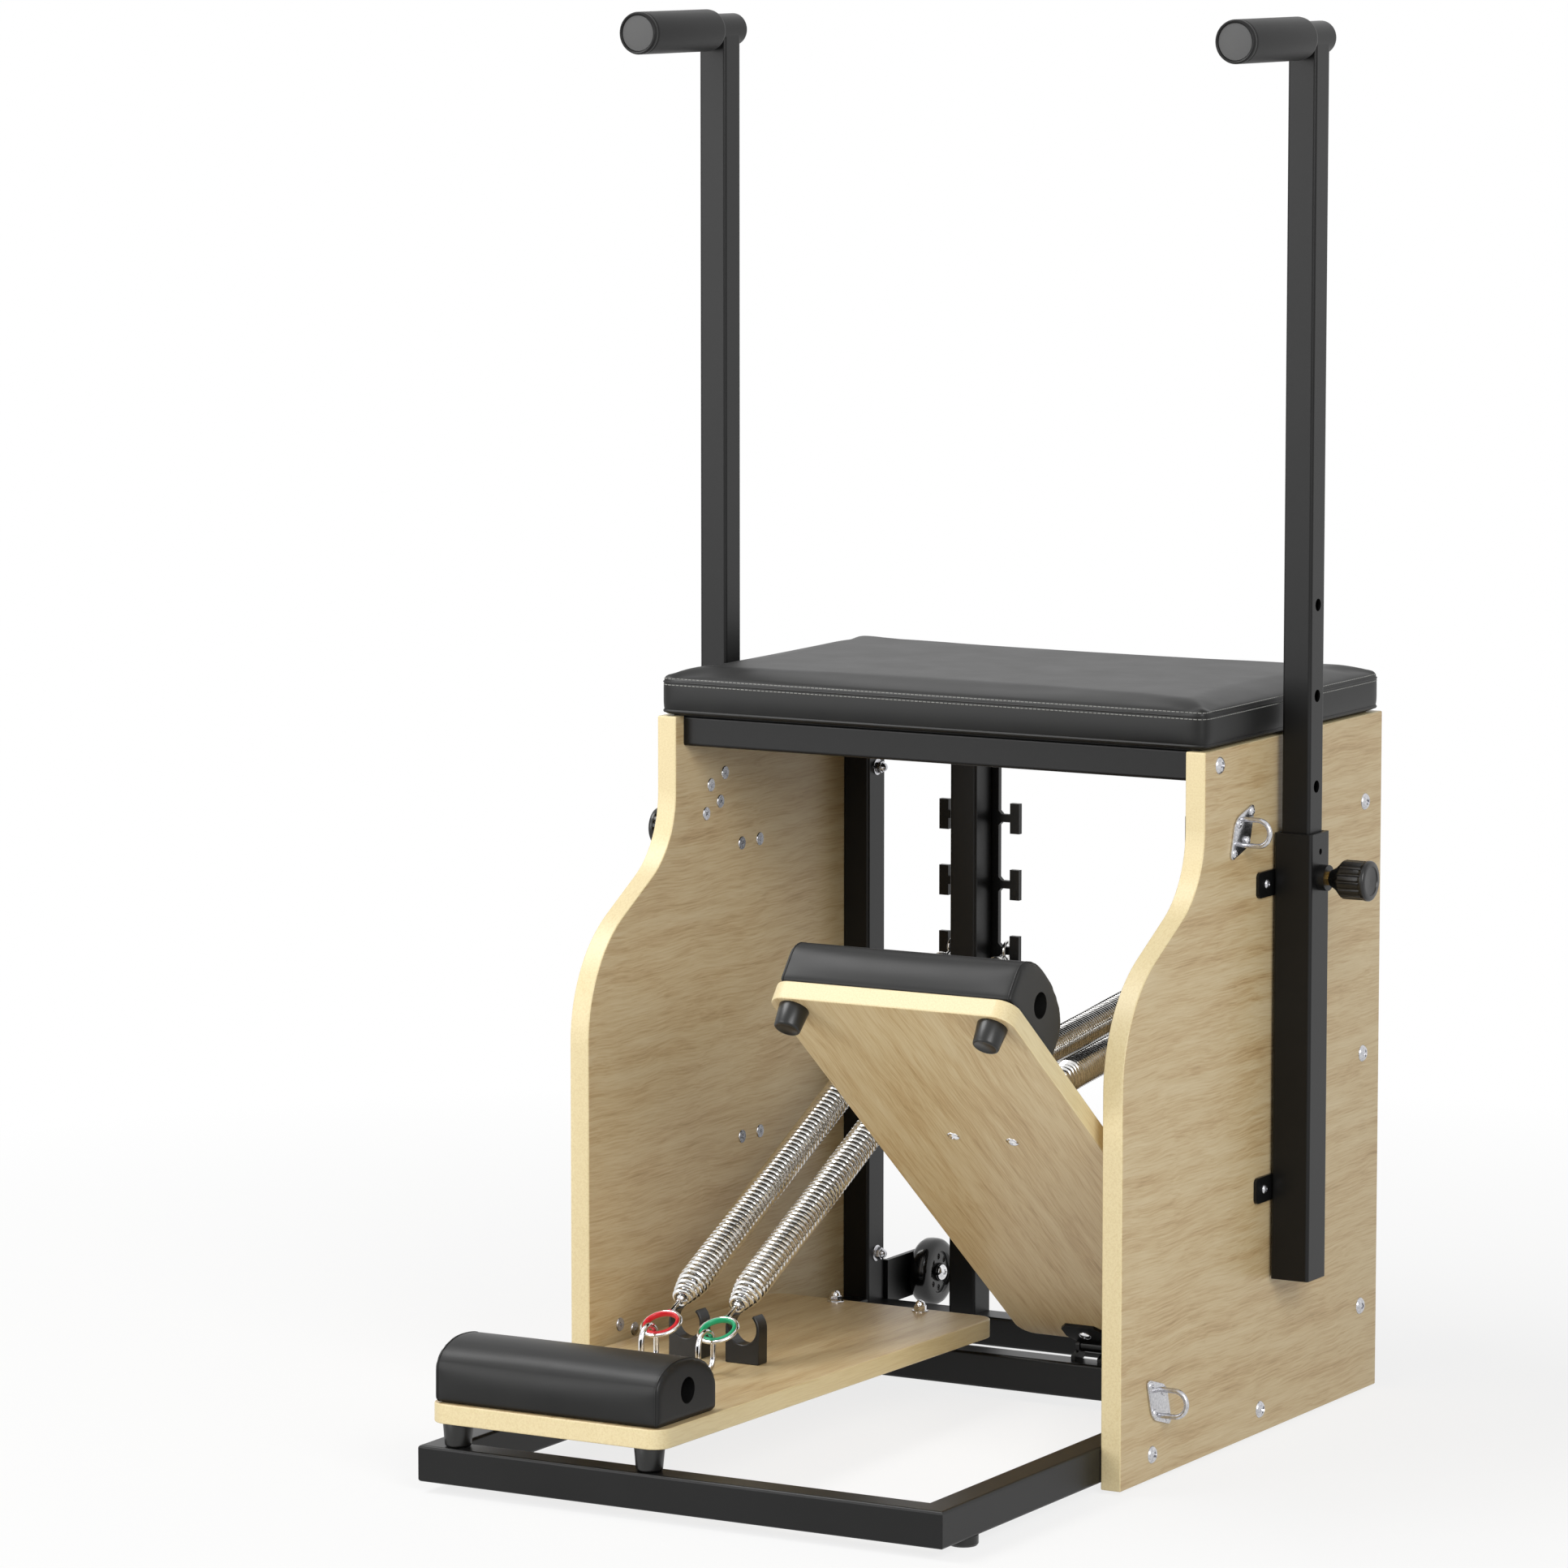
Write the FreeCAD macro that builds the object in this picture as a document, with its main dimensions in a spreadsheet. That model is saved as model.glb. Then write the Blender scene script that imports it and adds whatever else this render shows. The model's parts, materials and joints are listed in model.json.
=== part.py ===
import FreeCAD, Part
import math
import os
import re

import Sketcher
from FreeCAD import Placement, Rotation, Vector

# A pilates chair with two sprung pedals and two height-adjustable handles.
# X runs across the chair, Y from its front to its back and Z up from the floor.
# The origin is on the floor, midway between the handles and midway along the depth.
# The left pedal is pressed down on the front bar and the right pedal is up.

doc = FreeCAD.newDocument("pilates_chair")
sheet = doc.addObject("Spreadsheet::Sheet", "Sizes")

# Driving dimensions in millimetres and degrees.
# Distances called set are measured back from the front face of the front bar.
SIZES = {
    "front_reach": 475,
    "overall_width": 600,
    "panel_thick": 21,
    "panel_lift": 4,
    "panel_top": 681,
    "panel_foot_set": 308.5,
    "panel_head_set": 475,
    "panel_back_set": 866,
    "belly_start": 380,
    "belly_radius": 135,
    "neck_radius": 90,
    "neck_slope": 30,
    "panel_round": 1.5,
    "tube_wide": 30,
    "tube_tall": 35,
    "tube_wall": 2,
    "tube_corner": 3,
    "foot_tall": 10,
    "foot_radius": 14,
    "foot_lip": 2,
    "foot_lip_in": 1.5,
    "foot_set": 67,
    "hinge_bar_set": 630,
    "rear_frame_set": 810,
    "seat_rail_set": 490,
    "seat_board_thick": 12,
    "seat_board_inset": 12,
    "seat_thick": 41,
    "seat_crown": 6,
    "seat_lift": 0.5,
    "seat_corner": 9,
    "hook_plate_thick": 6,
    "hook_plate_wide": 45,
    "hook_plate_from": 70,
    "hook_plate_to": 630,
    "hook_low": 413,
    "hook_pitch": 68,
    "hook_count": 3,
    "hook_stem_tall": 8,
    "hook_stem_long": 13,
    "hook_cap_wide": 10.5,
    "hook_cap_tall": 31,
    "hook_root": 3.5,
    "sleeve_wide": 40,
    "sleeve_wall": 4,
    "sleeve_from": 154,
    "sleeve_to": 589,
    "sleeve_set": 637.5,
    "sleeve_peep": 571,
    "ear_thick": 3,
    "ear_tall": 25,
    "ear_long": 32,
    "ear_corner": 5,
    "ear_screw_front": 18,
    "ear_screw_back": 22,
    "ear_low": 244,
    "ear_high": 541,
    "post_wide": 30,
    "post_wall": 2.5,
    "post_from": 420,
    "post_hole_pitch": 87.5,
    "post_hole_count": 5,
    "post_hole_radius": 6,
    "bar_height": 1347,
    "bar_radius": 16,
    "bar_wall": 2,
    "bar_behind": 11,
    "grip_from_set": 478,
    "grip_to_set": 616,
    "grip_radius": 20.8,
    "grip_end": 4,
    "lock_height": 546,
    "lock_nut_radius": 12.5,
    "lock_nut_long": 9,
    "lock_bush_radius": 6.5,
    "lock_bush_long": 11,
    "lock_pin_radius": 4,
    "knob_gap": 1,
    "knob_neck_long": 11,
    "knob_neck_radius": 11,
    "knob_long": 42,
    "knob_radius": 19.5,
    "knob_flutes": 24,
    "knob_flute_radius": 1.6,
    "knob_rim": 4,
    "pedal_middle": 140,
    "pedal_wide": 254,
    "pedal_thick": 19,
    "pedal_rear": 10,
    "pedal_front": 661,
    "pedal_corner": 18,
    "pedal_axis_set": 658,
    "pedal_axis_height": 58,
    "pedal_down": 0.78,
    "pedal_up": 38.7,
    "pad_long": 237,
    "pad_deep": 110,
    "pad_tall": 60,
    "pad_side": 24,
    "pad_shoulder": 34,
    "pad_edge": 2,
    "pad_toe": 5,
    "pad_brow_in": 13.2,
    "pad_brow_up": 53.7,
    "pad_crest_in": 46.2,
    "pad_nape_in": 90.2,
    "pad_nape_up": 52.8,
    "pad_swell": 0.6,
    "pad_setback": 2,
    "pad_bore_radius": 12.5,
    "pad_bore_height": 28,
    "bumper_out": 104,
    "bumper_along": 643,
    "bumper_tall": 22.6,
    "bumper_radius": 14.5,
    "bumper_tip_radius": 12.5,
    "hinge_out": 48.5,
    "leaf_thick": 3,
    "leaf_wide": 45,
    "leaf_long": 42,
    "leaf_shoulder": 11.25,
    "leaf_corner": 7.5,
    "leaf_tip_wide": 31.5,
    "barrel_radius": 6.5,
    "barrel_long": 24,
    "lug_thick": 4,
    "lug_radius": 8,
    "lug_foot": 20,
    "hinge_pin_radius": 4,
    "hinge_bolt_along": 24,
    "bolt_radius": 3,
    "eye_along": 418,
    "eye_height": 49,
    "eye_low": 37,
    "eye_radius": 14,
    "eye_wire": 2.75,
    "cradle_along": 341,
    "cradle_wide": 37,
    "cradle_deep": 17,
    "cradle_tall": 52,
    "cradle_round": 15.5,
    "cradle_round_height": 34,
    "cradle_mouth": 21,
    "cradle_edge": 4.6,
    "spring_out": 31.5,
    "coil_radius": 14,
    "coil_end_radius": 7,
    "coil_wire": 1.9,
    "coil_turns": 24,
    "coil_cone_turns": 2,
    "coil_top_gap": 22,
    "coil_foot_gap": 63,
    "loop_radius": 8.5,
    "loop_shank": 40,
    "ring_gap": 25.9,
    "ring_radius": 19,
    "ring_wire": 2,
    "liner_thick": 1.5,
    "liner_wide": 6,
    "rod_radius": 3,
    "rod_reach": 93,
    "rod_head_radius": 5.2,
    "rod_head_long": 3,
    "plug_gap": 72,
    "plug_long": 12,
    "plug_tip_radius": 5.6,
    "plug_radius": 7.2,
    "plug_bore_radius": 4,
    "wheel_radius": 35,
    "wheel_wide": 22,
    "wheel_set": 918,
    "wheel_height": 57,
    "wheel_in": 46,
    "wheel_edge": 4.4,
    "wheel_dish_radius": 21.7,
    "wheel_dish_floor": 17.5,
    "wheel_dish_deep": 3.7,
    "wheel_boss_radius": 9.1,
    "wheel_gap": 1,
    "axle_radius": 4,
    "axle_spare": 2,
    "wheel_arm_thick": 5,
    "wheel_arm_tall": 46,
    "band_eye_high_set": 552,
    "band_eye_high": 597,
    "band_eye_low_set": 384,
    "band_eye_low": 76,
    "band_eye_long": 52,
    "band_eye_short": 26,
    "band_eye_edge": 6,
    "band_eye_plate": 2.5,
    "band_eye_wire": 2.5,
    "band_eye_loop": 12.5,
    "band_eye_reach": 33,
    "running_gap": 0.5,
    "bolt_high": 595,
    "bolt_middle": 344,
    "bolt_low": 90,
    "bolt_back_set": 603,
    "bolt_front_set": 373,
    "bolt_head_radius": 8.5,
    "bolt_head_tall": 4,
    "nut_radius": 6.4,
    "nut_tall": 5.5,
    "washer_thick": 1.2,
    "washer_rim": 2,
    "acorn_radius": 5,
    "screw_radius": 1.8,
    "screw_head_radius": 4.6,
    "screw_head_tall": 2.2,
    "panel_nut_radius": 4.8,
    "panel_nut_tall": 1,
}

# Values that follow from the driving dimensions, as the sheet's own expressions.
DERIVED = {
    "front_y": "-front_reach",
    "half_width": "overall_width / 2",
    "inner_x": "half_width - panel_thick",
    "bar_x": "inner_x - tube_wide / 2",
    "bar_top": "foot_tall + tube_tall",
    "bay_wide": "2 * (inner_x - tube_wide)",
    "rear_y": "front_y + rear_frame_set + tube_tall / 2",
    "rear_face_y": "front_y + rear_frame_set + tube_tall",
    "rail_z": "panel_top - tube_wide / 2",
    "sleeve_x": "half_width + ear_thick + sleeve_wide / 2",
    "sleeve_y": "front_y + sleeve_set",
    "sleeve_face_x": "sleeve_x + sleeve_wide / 2",
    "pedal_y": "front_y + pedal_axis_set",
    "pedal_lift": "leaf_thick / 2",
    "pedal_top": "pedal_lift + pedal_thick",
    "stem_y": "rear_face_y + hook_plate_thick / 2",
    "wheel_y": "front_y + wheel_set",
}
WORD = re.compile(r"[a-z_]+")


def bind(text):
    """Write a sum of named values as an expression on the sheet."""
    def swap(match):
        word = match.group()
        if word in DERIVED:
            return "(" + bind(DERIVED[word]) + ")"
        return "Sizes." + word if word in SIZES else word
    return WORD.sub(swap, text)


def size(text):
    """The present value of a sum of named values."""
    return float(sheet.evalExpression(bind(text)))


for row, (alias, number) in enumerate(SIZES.items(), start=1):
    sheet.set(f"A{row}", alias)
    sheet.set(f"B{row}", str(number))
    sheet.setAlias(f"B{row}", alias)
doc.recompute()

ACROSS = Rotation(Vector(0, 1, 0), 90)
BACKWARD = Rotation(Vector(1, 0, 0), -90)
OUTWARD = {1: Rotation(Vector(0, 1, 0), 90), -1: Rotation(Vector(0, 1, 0), -90)}
SIDES = (("left", -1), ("right", 1))
nodes = []


def keep(item, label, x="0", y="0", z="0", turn=None):
    """Name a finished sub-part and put it in its place."""
    item.Label = label
    if turn is not None:
        item.Placement = Placement(Vector(), turn)
    for letter, text in zip("xyz", (x, y, z)):
        item.setExpression(f"Placement.Base.{letter}", bind(text))
    nodes.append(item)
    return item


def keep_shape(label, shape, place=None):
    """Name a sub-part whose shape is made directly, and put it in its place."""
    item = doc.addObject("Part::Feature", label)
    item.Shape = shape
    item.Label = label
    if place is not None:
        item.Placement = place
    nodes.append(item)
    return item


def sketch_on(body, role, name):
    """A sketch on one of the body's own origin planes."""
    sketch = body.newObject("Sketcher::SketchObject", name)
    plane = next(item for item in body.Origin.OriginFeatures if item.Role == role)
    sketch.AttachmentSupport = [(plane, "")]
    sketch.MapMode = "FlatFace"
    return sketch


def drive(sketch, number, text):
    """Bind a sketch dimension to the sheet."""
    sketch.setExpression(f"Constraints[{number}]", bind(text))


def pin_point(sketch, shape, end, x, y):
    """Dimension a point of the sketch from its origin both ways."""
    for kind, axis, text in (("DistanceX", -2, x), ("DistanceY", -1, y)):
        number = size(text)
        if abs(number) < 1e-9:
            sketch.addConstraint(Sketcher.Constraint("PointOnObject", shape, end, axis))
        elif number > 0:
            place = sketch.addConstraint(Sketcher.Constraint(kind, -1, 1, shape, end, number))
            drive(sketch, place, text)
        else:
            place = sketch.addConstraint(Sketcher.Constraint(kind, shape, end, -1, 1, -number))
            drive(sketch, place, f"-({text})")


def polygon(sketch, corners):
    """A closed outline of straight lines through the named corners."""
    points = [Vector(size(x), size(y), 0) for x, y in corners]
    first = sketch.GeometryCount
    count = len(points)
    for index in range(count):
        line = Part.LineSegment(points[index], points[(index + 1) % count])
        sketch.addGeometry(line, False)
    for index in range(count):
        joint = (first + index, 2, first + (index + 1) % count, 1)
        sketch.addConstraint(Sketcher.Constraint("Coincident", *joint))
    for index, (x, y) in enumerate(corners):
        pin_point(sketch, first + index, 1, x, y)


def circle(sketch, x, y, radius):
    """A dimensioned circle."""
    centre = Vector(size(x), size(y), 0)
    number = sketch.addGeometry(Part.Circle(centre, Vector(0, 0, 1), size(radius)), False)
    pin_point(sketch, number, 3, x, y)
    place = sketch.addConstraint(Sketcher.Constraint("Radius", number, size(radius)))
    drive(sketch, place, radius)


def rounded_rectangle(sketch, wide, deep, corner):
    """A rectangle about the sketch origin with tangent corner arcs."""
    half_w, half_d, radius = size(wide) / 2, size(deep) / 2, size(corner)
    first = sketch.GeometryCount
    starts = ((1, -1), (1, 1), (-1, 1), (-1, -1))
    for index, (across, along) in enumerate(starts):
        centre = Vector(across * (half_w - radius), along * (half_d - radius), 0)
        begin = math.radians(90 * index - 90)
        ring = Part.Circle(centre, Vector(0, 0, 1), radius)
        sketch.addGeometry(Part.ArcOfCircle(ring, begin, begin + math.pi / 2), False)
    for index in range(4):
        here = sketch.Geometry[first + index].EndPoint
        there = sketch.Geometry[first + (index + 1) % 4].StartPoint
        sketch.addGeometry(Part.LineSegment(here, there), False)
    for index in range(4):
        line = first + 4 + index
        sketch.addConstraint(Sketcher.Constraint("Tangent", first + index, 2, line, 1))
        after = first + (index + 1) % 4
        sketch.addConstraint(Sketcher.Constraint("Tangent", line, 2, after, 1))
        level = "Vertical" if index % 2 == 0 else "Horizontal"
        sketch.addConstraint(Sketcher.Constraint(level, line))
        if index:
            sketch.addConstraint(Sketcher.Constraint("Equal", first, first + index))
    sketch.addConstraint(Sketcher.Constraint("Symmetric", first, 3, first + 2, 3, -1, 1))
    arc = sketch.addConstraint(Sketcher.Constraint("Radius", first, radius))
    drive(sketch, arc, corner)
    across = sketch.addConstraint(
        Sketcher.Constraint("DistanceX", first + 3, 3, first, 3, 2 * (half_w - radius)))
    drive(sketch, across, f"({wide}) - 2 * ({corner})")
    along = sketch.addConstraint(
        Sketcher.Constraint("DistanceY", first, 3, first + 1, 3, 2 * (half_d - radius)))
    drive(sketch, along, f"({deep}) - 2 * ({corner})")


def pad(body, sketch, name, length):
    """Extrude a sketch by a named length."""
    feature = body.newObject("PartDesign::Pad", name)
    feature.Profile = sketch
    feature.setExpression("Length", bind(length))
    body.Tip = feature
    sketch.Visibility = False
    return feature


def pocket(body, sketch, name, both_ways=True):
    """Cut a sketch through the whole body."""
    feature = body.newObject("PartDesign::Pocket", name)
    feature.Profile = sketch
    feature.Type = "ThroughAll"
    feature.Midplane = both_ways
    body.Tip = feature
    return feature


def tube_body(name, wide, deep, length, wall="tube_wall", corner="tube_corner"):
    """A rolled rectangular tube, standing on its own XY plane."""
    body = doc.addObject("PartDesign::Body", name)
    profile = sketch_on(body, "XY_Plane", name + "_profile")
    rounded_rectangle(profile, wide, deep, corner)
    rounded_rectangle(profile, f"({wide}) - 2 * {wall}", f"({deep}) - 2 * {wall}",
                      f"{corner} - {wall} / 2")
    pad(body, profile, name + "_length", length)
    return body


def rounded(body, base, radius):
    """Round every edge of a body's last solid."""
    feature = body.newObject("PartDesign::Fillet", base.Name + "_edges")
    feature.Base = (base, [""])
    feature.UseAllEdges = True
    feature.setExpression("Radius", bind(radius))
    body.Tip = feature
    return feature


def bolt_hole(body, name, role, x, y):
    """A hole through a whole tube for one frame bolt."""
    hole = sketch_on(body, role, name)
    circle(hole, x, y, "bolt_radius")
    pocket(body, hole, name + "_cut")


# Base frame of rectangular tube. Its two front corners are mitred.
front_bar = tube_body("base_front_bar", "tube_tall", "tube_wide", "2 * inner_x")
mitres = sketch_on(front_bar, "YZ_Plane", "front_mitres")
polygon(mitres, (("tube_wide / 2", "0"), ("tube_wide / 2", "tube_wide"), ("-tube_wide / 2", "0")))
polygon(mitres, (("tube_wide / 2", "2 * inner_x"), ("-tube_wide / 2", "2 * inner_x"),
                 ("tube_wide / 2", "2 * inner_x - tube_wide")))
pocket(front_bar, mitres, "front_mitre_cuts")
keep(front_bar, "base_front_bar", "-inner_x", "front_y + tube_wide / 2",
     "foot_tall + tube_tall / 2", ACROSS)

for side, sign in SIDES:
    bar = tube_body(f"base_{side}_bar", "tube_wide", "tube_tall", "rear_frame_set")
    mitre = sketch_on(bar, "XZ_Plane", f"{side}_mitre")
    polygon(mitre, ((f"{-sign} * tube_wide / 2", "0"), (f"{sign} * tube_wide / 2", "0"),
                    (f"{-sign} * tube_wide / 2", "tube_wide")))
    pocket(bar, mitre, f"{side}_mitre_cut")
    bolt_hole(bar, f"{side}_bar_back_hole", "YZ_Plane", "0", "bolt_back_set")
    bolt_hole(bar, f"{side}_bar_front_hole", "YZ_Plane", "0", "bolt_front_set")
    keep(bar, f"base_{side}_bar", f"{sign} * bar_x", "front_y", "foot_tall + tube_tall / 2", BACKWARD)

hinge_bar = tube_body("hinge_cross_bar", "tube_tall", "tube_wide", "bay_wide")
keep(hinge_bar, "hinge_cross_bar", "-bay_wide / 2", "front_y + hinge_bar_set + tube_wide / 2",
     "foot_tall + tube_tall / 2", ACROSS)
rear_bar = tube_body("base_rear_bar", "tube_wide", "tube_tall", "bay_wide")
keep(rear_bar, "base_rear_bar", "-bay_wide / 2", "rear_y", "foot_tall + tube_wide / 2", ACROSS)
rear_rail = tube_body("rear_seat_rail", "tube_wide", "tube_tall", "bay_wide")
keep(rear_rail, "rear_seat_rail", "-bay_wide / 2", "rear_y", "rail_z", ACROSS)
front_rail = tube_body("front_seat_rail", "tube_wide", "tube_wide", "2 * inner_x")
keep(front_rail, "front_seat_rail", "-inner_x", "front_y + seat_rail_set + tube_wide / 2",
     "rail_z", ACROSS)
for side, sign in SIDES:
    post = tube_body(f"{side}_rear_post", "tube_wide", "tube_tall", "panel_top - foot_tall")
    for level in ("bolt_high", "bolt_middle", "bolt_low"):
        bolt_hole(post, f"{side}_post_{level}", "YZ_Plane", "0", f"{level} - foot_tall")
    keep(post, f"{side}_rear_post", f"{sign} * bar_x", "rear_y", "foot_tall")

# Hook posts, each with a plate behind it whose T-shaped ears carry the spring loops.
for side, sign in SIDES:
    post = tube_body(f"{side}_hook_post", "tube_wide", "tube_tall",
                     "rail_z - tube_wide * 3 / 2 - foot_tall")
    strip = sketch_on(post, "XZ_Plane", f"{side}_hook_strip")
    edge, low, high = "hook_plate_wide / 2", "hook_plate_from", "hook_plate_to"
    floor = "(foot_tall + tube_wide)"
    polygon(strip, ((f"-{edge}", f"{low} - {floor}"), (edge, f"{low} - {floor}"),
                    (edge, f"{high} - {floor}"), (f"-{edge}", f"{high} - {floor}")))
    strip.setExpression("AttachmentOffset.Base.z", bind("-tube_tall / 2 - hook_plate_thick"))
    pad(post, strip, f"{side}_hook_plate", "hook_plate_thick")
    ears = sketch_on(post, "XZ_Plane", f"{side}_hook_ears")
    level = f"(hook_low - {floor})"
    stem, cap = "hook_stem_tall / 2", "hook_cap_tall / 2"
    for way in (-1, 1):
        root = f"{way} * (hook_plate_wide / 2 - hook_root)"
        near = f"{way} * hook_plate_wide / 2"
        soft = f"{way} * (hook_plate_wide / 2 + hook_root)"
        neck = f"{way} * (hook_plate_wide / 2 + hook_stem_long)"
        far = f"{way} * (hook_plate_wide / 2 + hook_stem_long + hook_cap_wide)"
        polygon(ears, (
            (root, f"{level} - {stem} - hook_root"), (near, f"{level} - {stem} - hook_root"),
            (soft, f"{level} - {stem}"), (neck, f"{level} - {stem}"),
            (neck, f"{level} - {cap}"), (far, f"{level} - {cap}"),
            (far, f"{level} + {cap}"), (neck, f"{level} + {cap}"),
            (neck, f"{level} + {stem}"), (soft, f"{level} + {stem}"),
            (near, f"{level} + {stem} + hook_root"), (root, f"{level} + {stem} + hook_root")))
    ears.setExpression("AttachmentOffset.Base.z", bind("-tube_tall / 2 - hook_plate_thick"))
    ear_pad = pad(post, ears, f"{side}_hook_ear", "hook_plate_thick")
    rise = post.newObject("PartDesign::LinearPattern", f"{side}_hook_levels")
    rise.Originals = [ear_pad]
    upright = next(item for item in post.Origin.OriginFeatures if item.Role == "Z_Axis")
    rise.Direction = (upright, [""])
    rise.setExpression("Length", bind("hook_pitch * (hook_count - 1)"))
    rise.setExpression("Occurrences", bind("hook_count"))
    post.Tip = rise
    keep(post, f"{side}_hook_post", f"{sign} * pedal_middle", "rear_y", "foot_tall + tube_wide")

# Side panels of veneered plywood. The front edge swells out below and draws in above.
FRAME_BOLTS = (
    ("seat_rail_set + tube_wide / 2", "rail_z"),
    ("rear_frame_set + tube_tall / 2", "bolt_high"),
    ("rear_frame_set + tube_tall / 2", "bolt_middle"),
    ("rear_frame_set + tube_tall / 2", "bolt_low"),
    ("bolt_back_set", "foot_tall + tube_tall / 2"),
    ("bolt_front_set", "foot_tall + tube_tall / 2"),
)
BAND_EYES = (("band_eye_high_set", "band_eye_high", 1), ("band_eye_low_set", "band_eye_low", -1))
EAR_SCREWS = tuple((f"sleeve_set - sleeve_wide / 2 - ear_long + {along}", height)
                   for along in ("ear_screw_front", "(ear_long + ear_screw_back)")
                   for height in ("ear_low", "ear_high"))
DIAGONAL = math.sqrt(0.5)
EYE_SCREWS = tuple(
    (f"{along} + {DIAGONAL} * {across} * {span} / 2", f"{height} + {DIAGONAL} * {rise} * {span} / 2")
    for along, height, lean in BAND_EYES
    for across, rise, span in ((lean, 1, "band_eye_long"), (-lean, -1, "band_eye_long"),
                               (-lean, 1, "band_eye_short"), (lean, -1, "band_eye_short")))
PANEL_SCREWS = EAR_SCREWS + EYE_SCREWS


def panel_outline(sketch):
    """The panel's outline, with Y set from the front bar and Z from the floor."""
    slope = math.radians(size("neck_slope"))
    lean = math.pi / 2 - slope
    foot, head = size("panel_foot_set"), size("panel_head_set")
    belly, neck = size("belly_radius"), size("neck_radius")
    start, low, high = size("belly_start"), size("panel_lift"), size("panel_top")
    back = size("panel_back_set")
    belly_end = Vector(foot + belly * (1 - math.cos(lean)), start + belly * math.sin(lean), 0)
    across = head - neck * (1 - math.cos(lean)) - belly_end.x
    neck_start = belly_end + Vector(across, across * math.tan(slope), 0)
    neck_end = Vector(head, neck_start.y + neck * math.sin(lean), 0)
    belly_centre = Vector(foot + belly, start, 0)
    neck_centre = Vector(head - neck, neck_end.y, 0)
    up = Vector(0, 0, 1)
    turn = math.pi - lean
    sketch.addGeometry(Part.LineSegment(Vector(foot, low, 0), Vector(foot, start, 0)), False)
    sketch.addGeometry(Part.ArcOfCircle(Part.Circle(belly_centre, up, belly), turn, math.pi), False)
    sketch.addGeometry(Part.LineSegment(belly_end, neck_start), False)
    sketch.addGeometry(Part.ArcOfCircle(Part.Circle(neck_centre, up, neck), -lean, 0), False)
    sketch.addGeometry(Part.LineSegment(neck_end, Vector(head, high, 0)), False)
    sketch.addGeometry(Part.LineSegment(Vector(head, high, 0), Vector(back, high, 0)), False)
    sketch.addGeometry(Part.LineSegment(Vector(back, high, 0), Vector(back, low, 0)), False)
    sketch.addGeometry(Part.LineSegment(Vector(back, low, 0), Vector(foot, low, 0)), False)
    for joint in ((0, 2, 1, 2), (1, 1, 2, 1), (2, 2, 3, 1), (3, 2, 4, 1)):
        sketch.addConstraint(Sketcher.Constraint("Tangent", *joint))
    for joint in ((4, 2, 5, 1), (5, 2, 6, 1), (6, 2, 7, 1), (7, 2, 0, 1)):
        sketch.addConstraint(Sketcher.Constraint("Coincident", *joint))
    for line, kind in ((0, "Vertical"), (4, "Vertical"), (5, "Horizontal"),
                       (6, "Vertical"), (7, "Horizontal")):
        sketch.addConstraint(Sketcher.Constraint(kind, line))
    for arc, text in ((1, "belly_radius"), (3, "neck_radius")):
        place = sketch.addConstraint(Sketcher.Constraint("Radius", arc, size(text)))
        drive(sketch, place, text)
    pin_point(sketch, 0, 1, "panel_foot_set", "panel_lift")
    pin_point(sketch, 5, 2, "panel_back_set", "panel_top")
    for kind, shape, end, text in (("DistanceY", 0, 2, "belly_start"),
                                   ("DistanceX", 5, 1, "panel_head_set")):
        place = sketch.addConstraint(Sketcher.Constraint(kind, -1, 1, shape, end, size(text)))
        drive(sketch, place, text)
    place = sketch.addConstraint(Sketcher.Constraint("Angle", 2, slope))
    sketch.setExpression(f"Constraints[{place}]", bind("neck_slope") + " * 1 deg")


for side, sign in SIDES:
    panel = doc.addObject("PartDesign::Body", f"{side}_side_panel")
    outline = sketch_on(panel, "YZ_Plane", f"{side}_panel_outline")
    panel_outline(outline)
    board = pad(panel, outline, f"{side}_panel_board", "panel_thick")
    rounded(panel, board, "panel_round")
    holes = sketch_on(panel, "YZ_Plane", f"{side}_panel_holes")
    for along, height in FRAME_BOLTS:
        circle(holes, along, height, "bolt_radius")
    for along, height in PANEL_SCREWS:
        circle(holes, along, height, "screw_radius")
    pocket(panel, holes, f"{side}_panel_drilling")
    outer = "half_width - panel_thick" if sign > 0 else "-half_width"
    keep(panel, f"{side}_side_panel", outer, "front_y", "0")


# Seat: a plywood board inside a boxed cushion with a crown and drawn-in sides.
seat_board = doc.addObject("Part::Box", "seat_board")
for side_name, text in (("Length", "overall_width - 2 * seat_board_inset"),
                        ("Width", "panel_back_set - panel_head_set - 2 * seat_board_inset"),
                        ("Height", "seat_board_thick")):
    seat_board.setExpression(side_name, bind(text))
keep(seat_board, "seat_board", "-half_width + seat_board_inset",
     "front_y + panel_head_set + seat_board_inset", "panel_top")


def rounded_wire(low, high, corner, height):
    """A rounded rectangle at one height, between two opposite corners."""
    (x0, y0), (x1, y1) = low, high
    bend = corner * (1 - math.sqrt(0.5))
    edges = []
    stops = ((x1, y0, -1, 1), (x1, y1, -1, -1), (x0, y1, 1, -1), (x0, y0, 1, 1))
    for index, (x, y, back, up) in enumerate(stops):
        side = Vector(x, y + up * corner, height)
        end = Vector(x + back * corner, y, height)
        middle = Vector(x + back * bend, y + up * bend, height)
        begin, finish = (end, side) if index % 2 == 0 else (side, end)
        if edges:
            edges.append(Part.makeLine(edges[-1].Vertexes[-1].Point, begin))
        edges.append(Part.Arc(begin, middle, finish).toShape())
    edges.append(Part.makeLine(edges[-1].Vertexes[-1].Point, edges[0].Vertexes[0].Point))
    return Part.Wire(edges)


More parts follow.
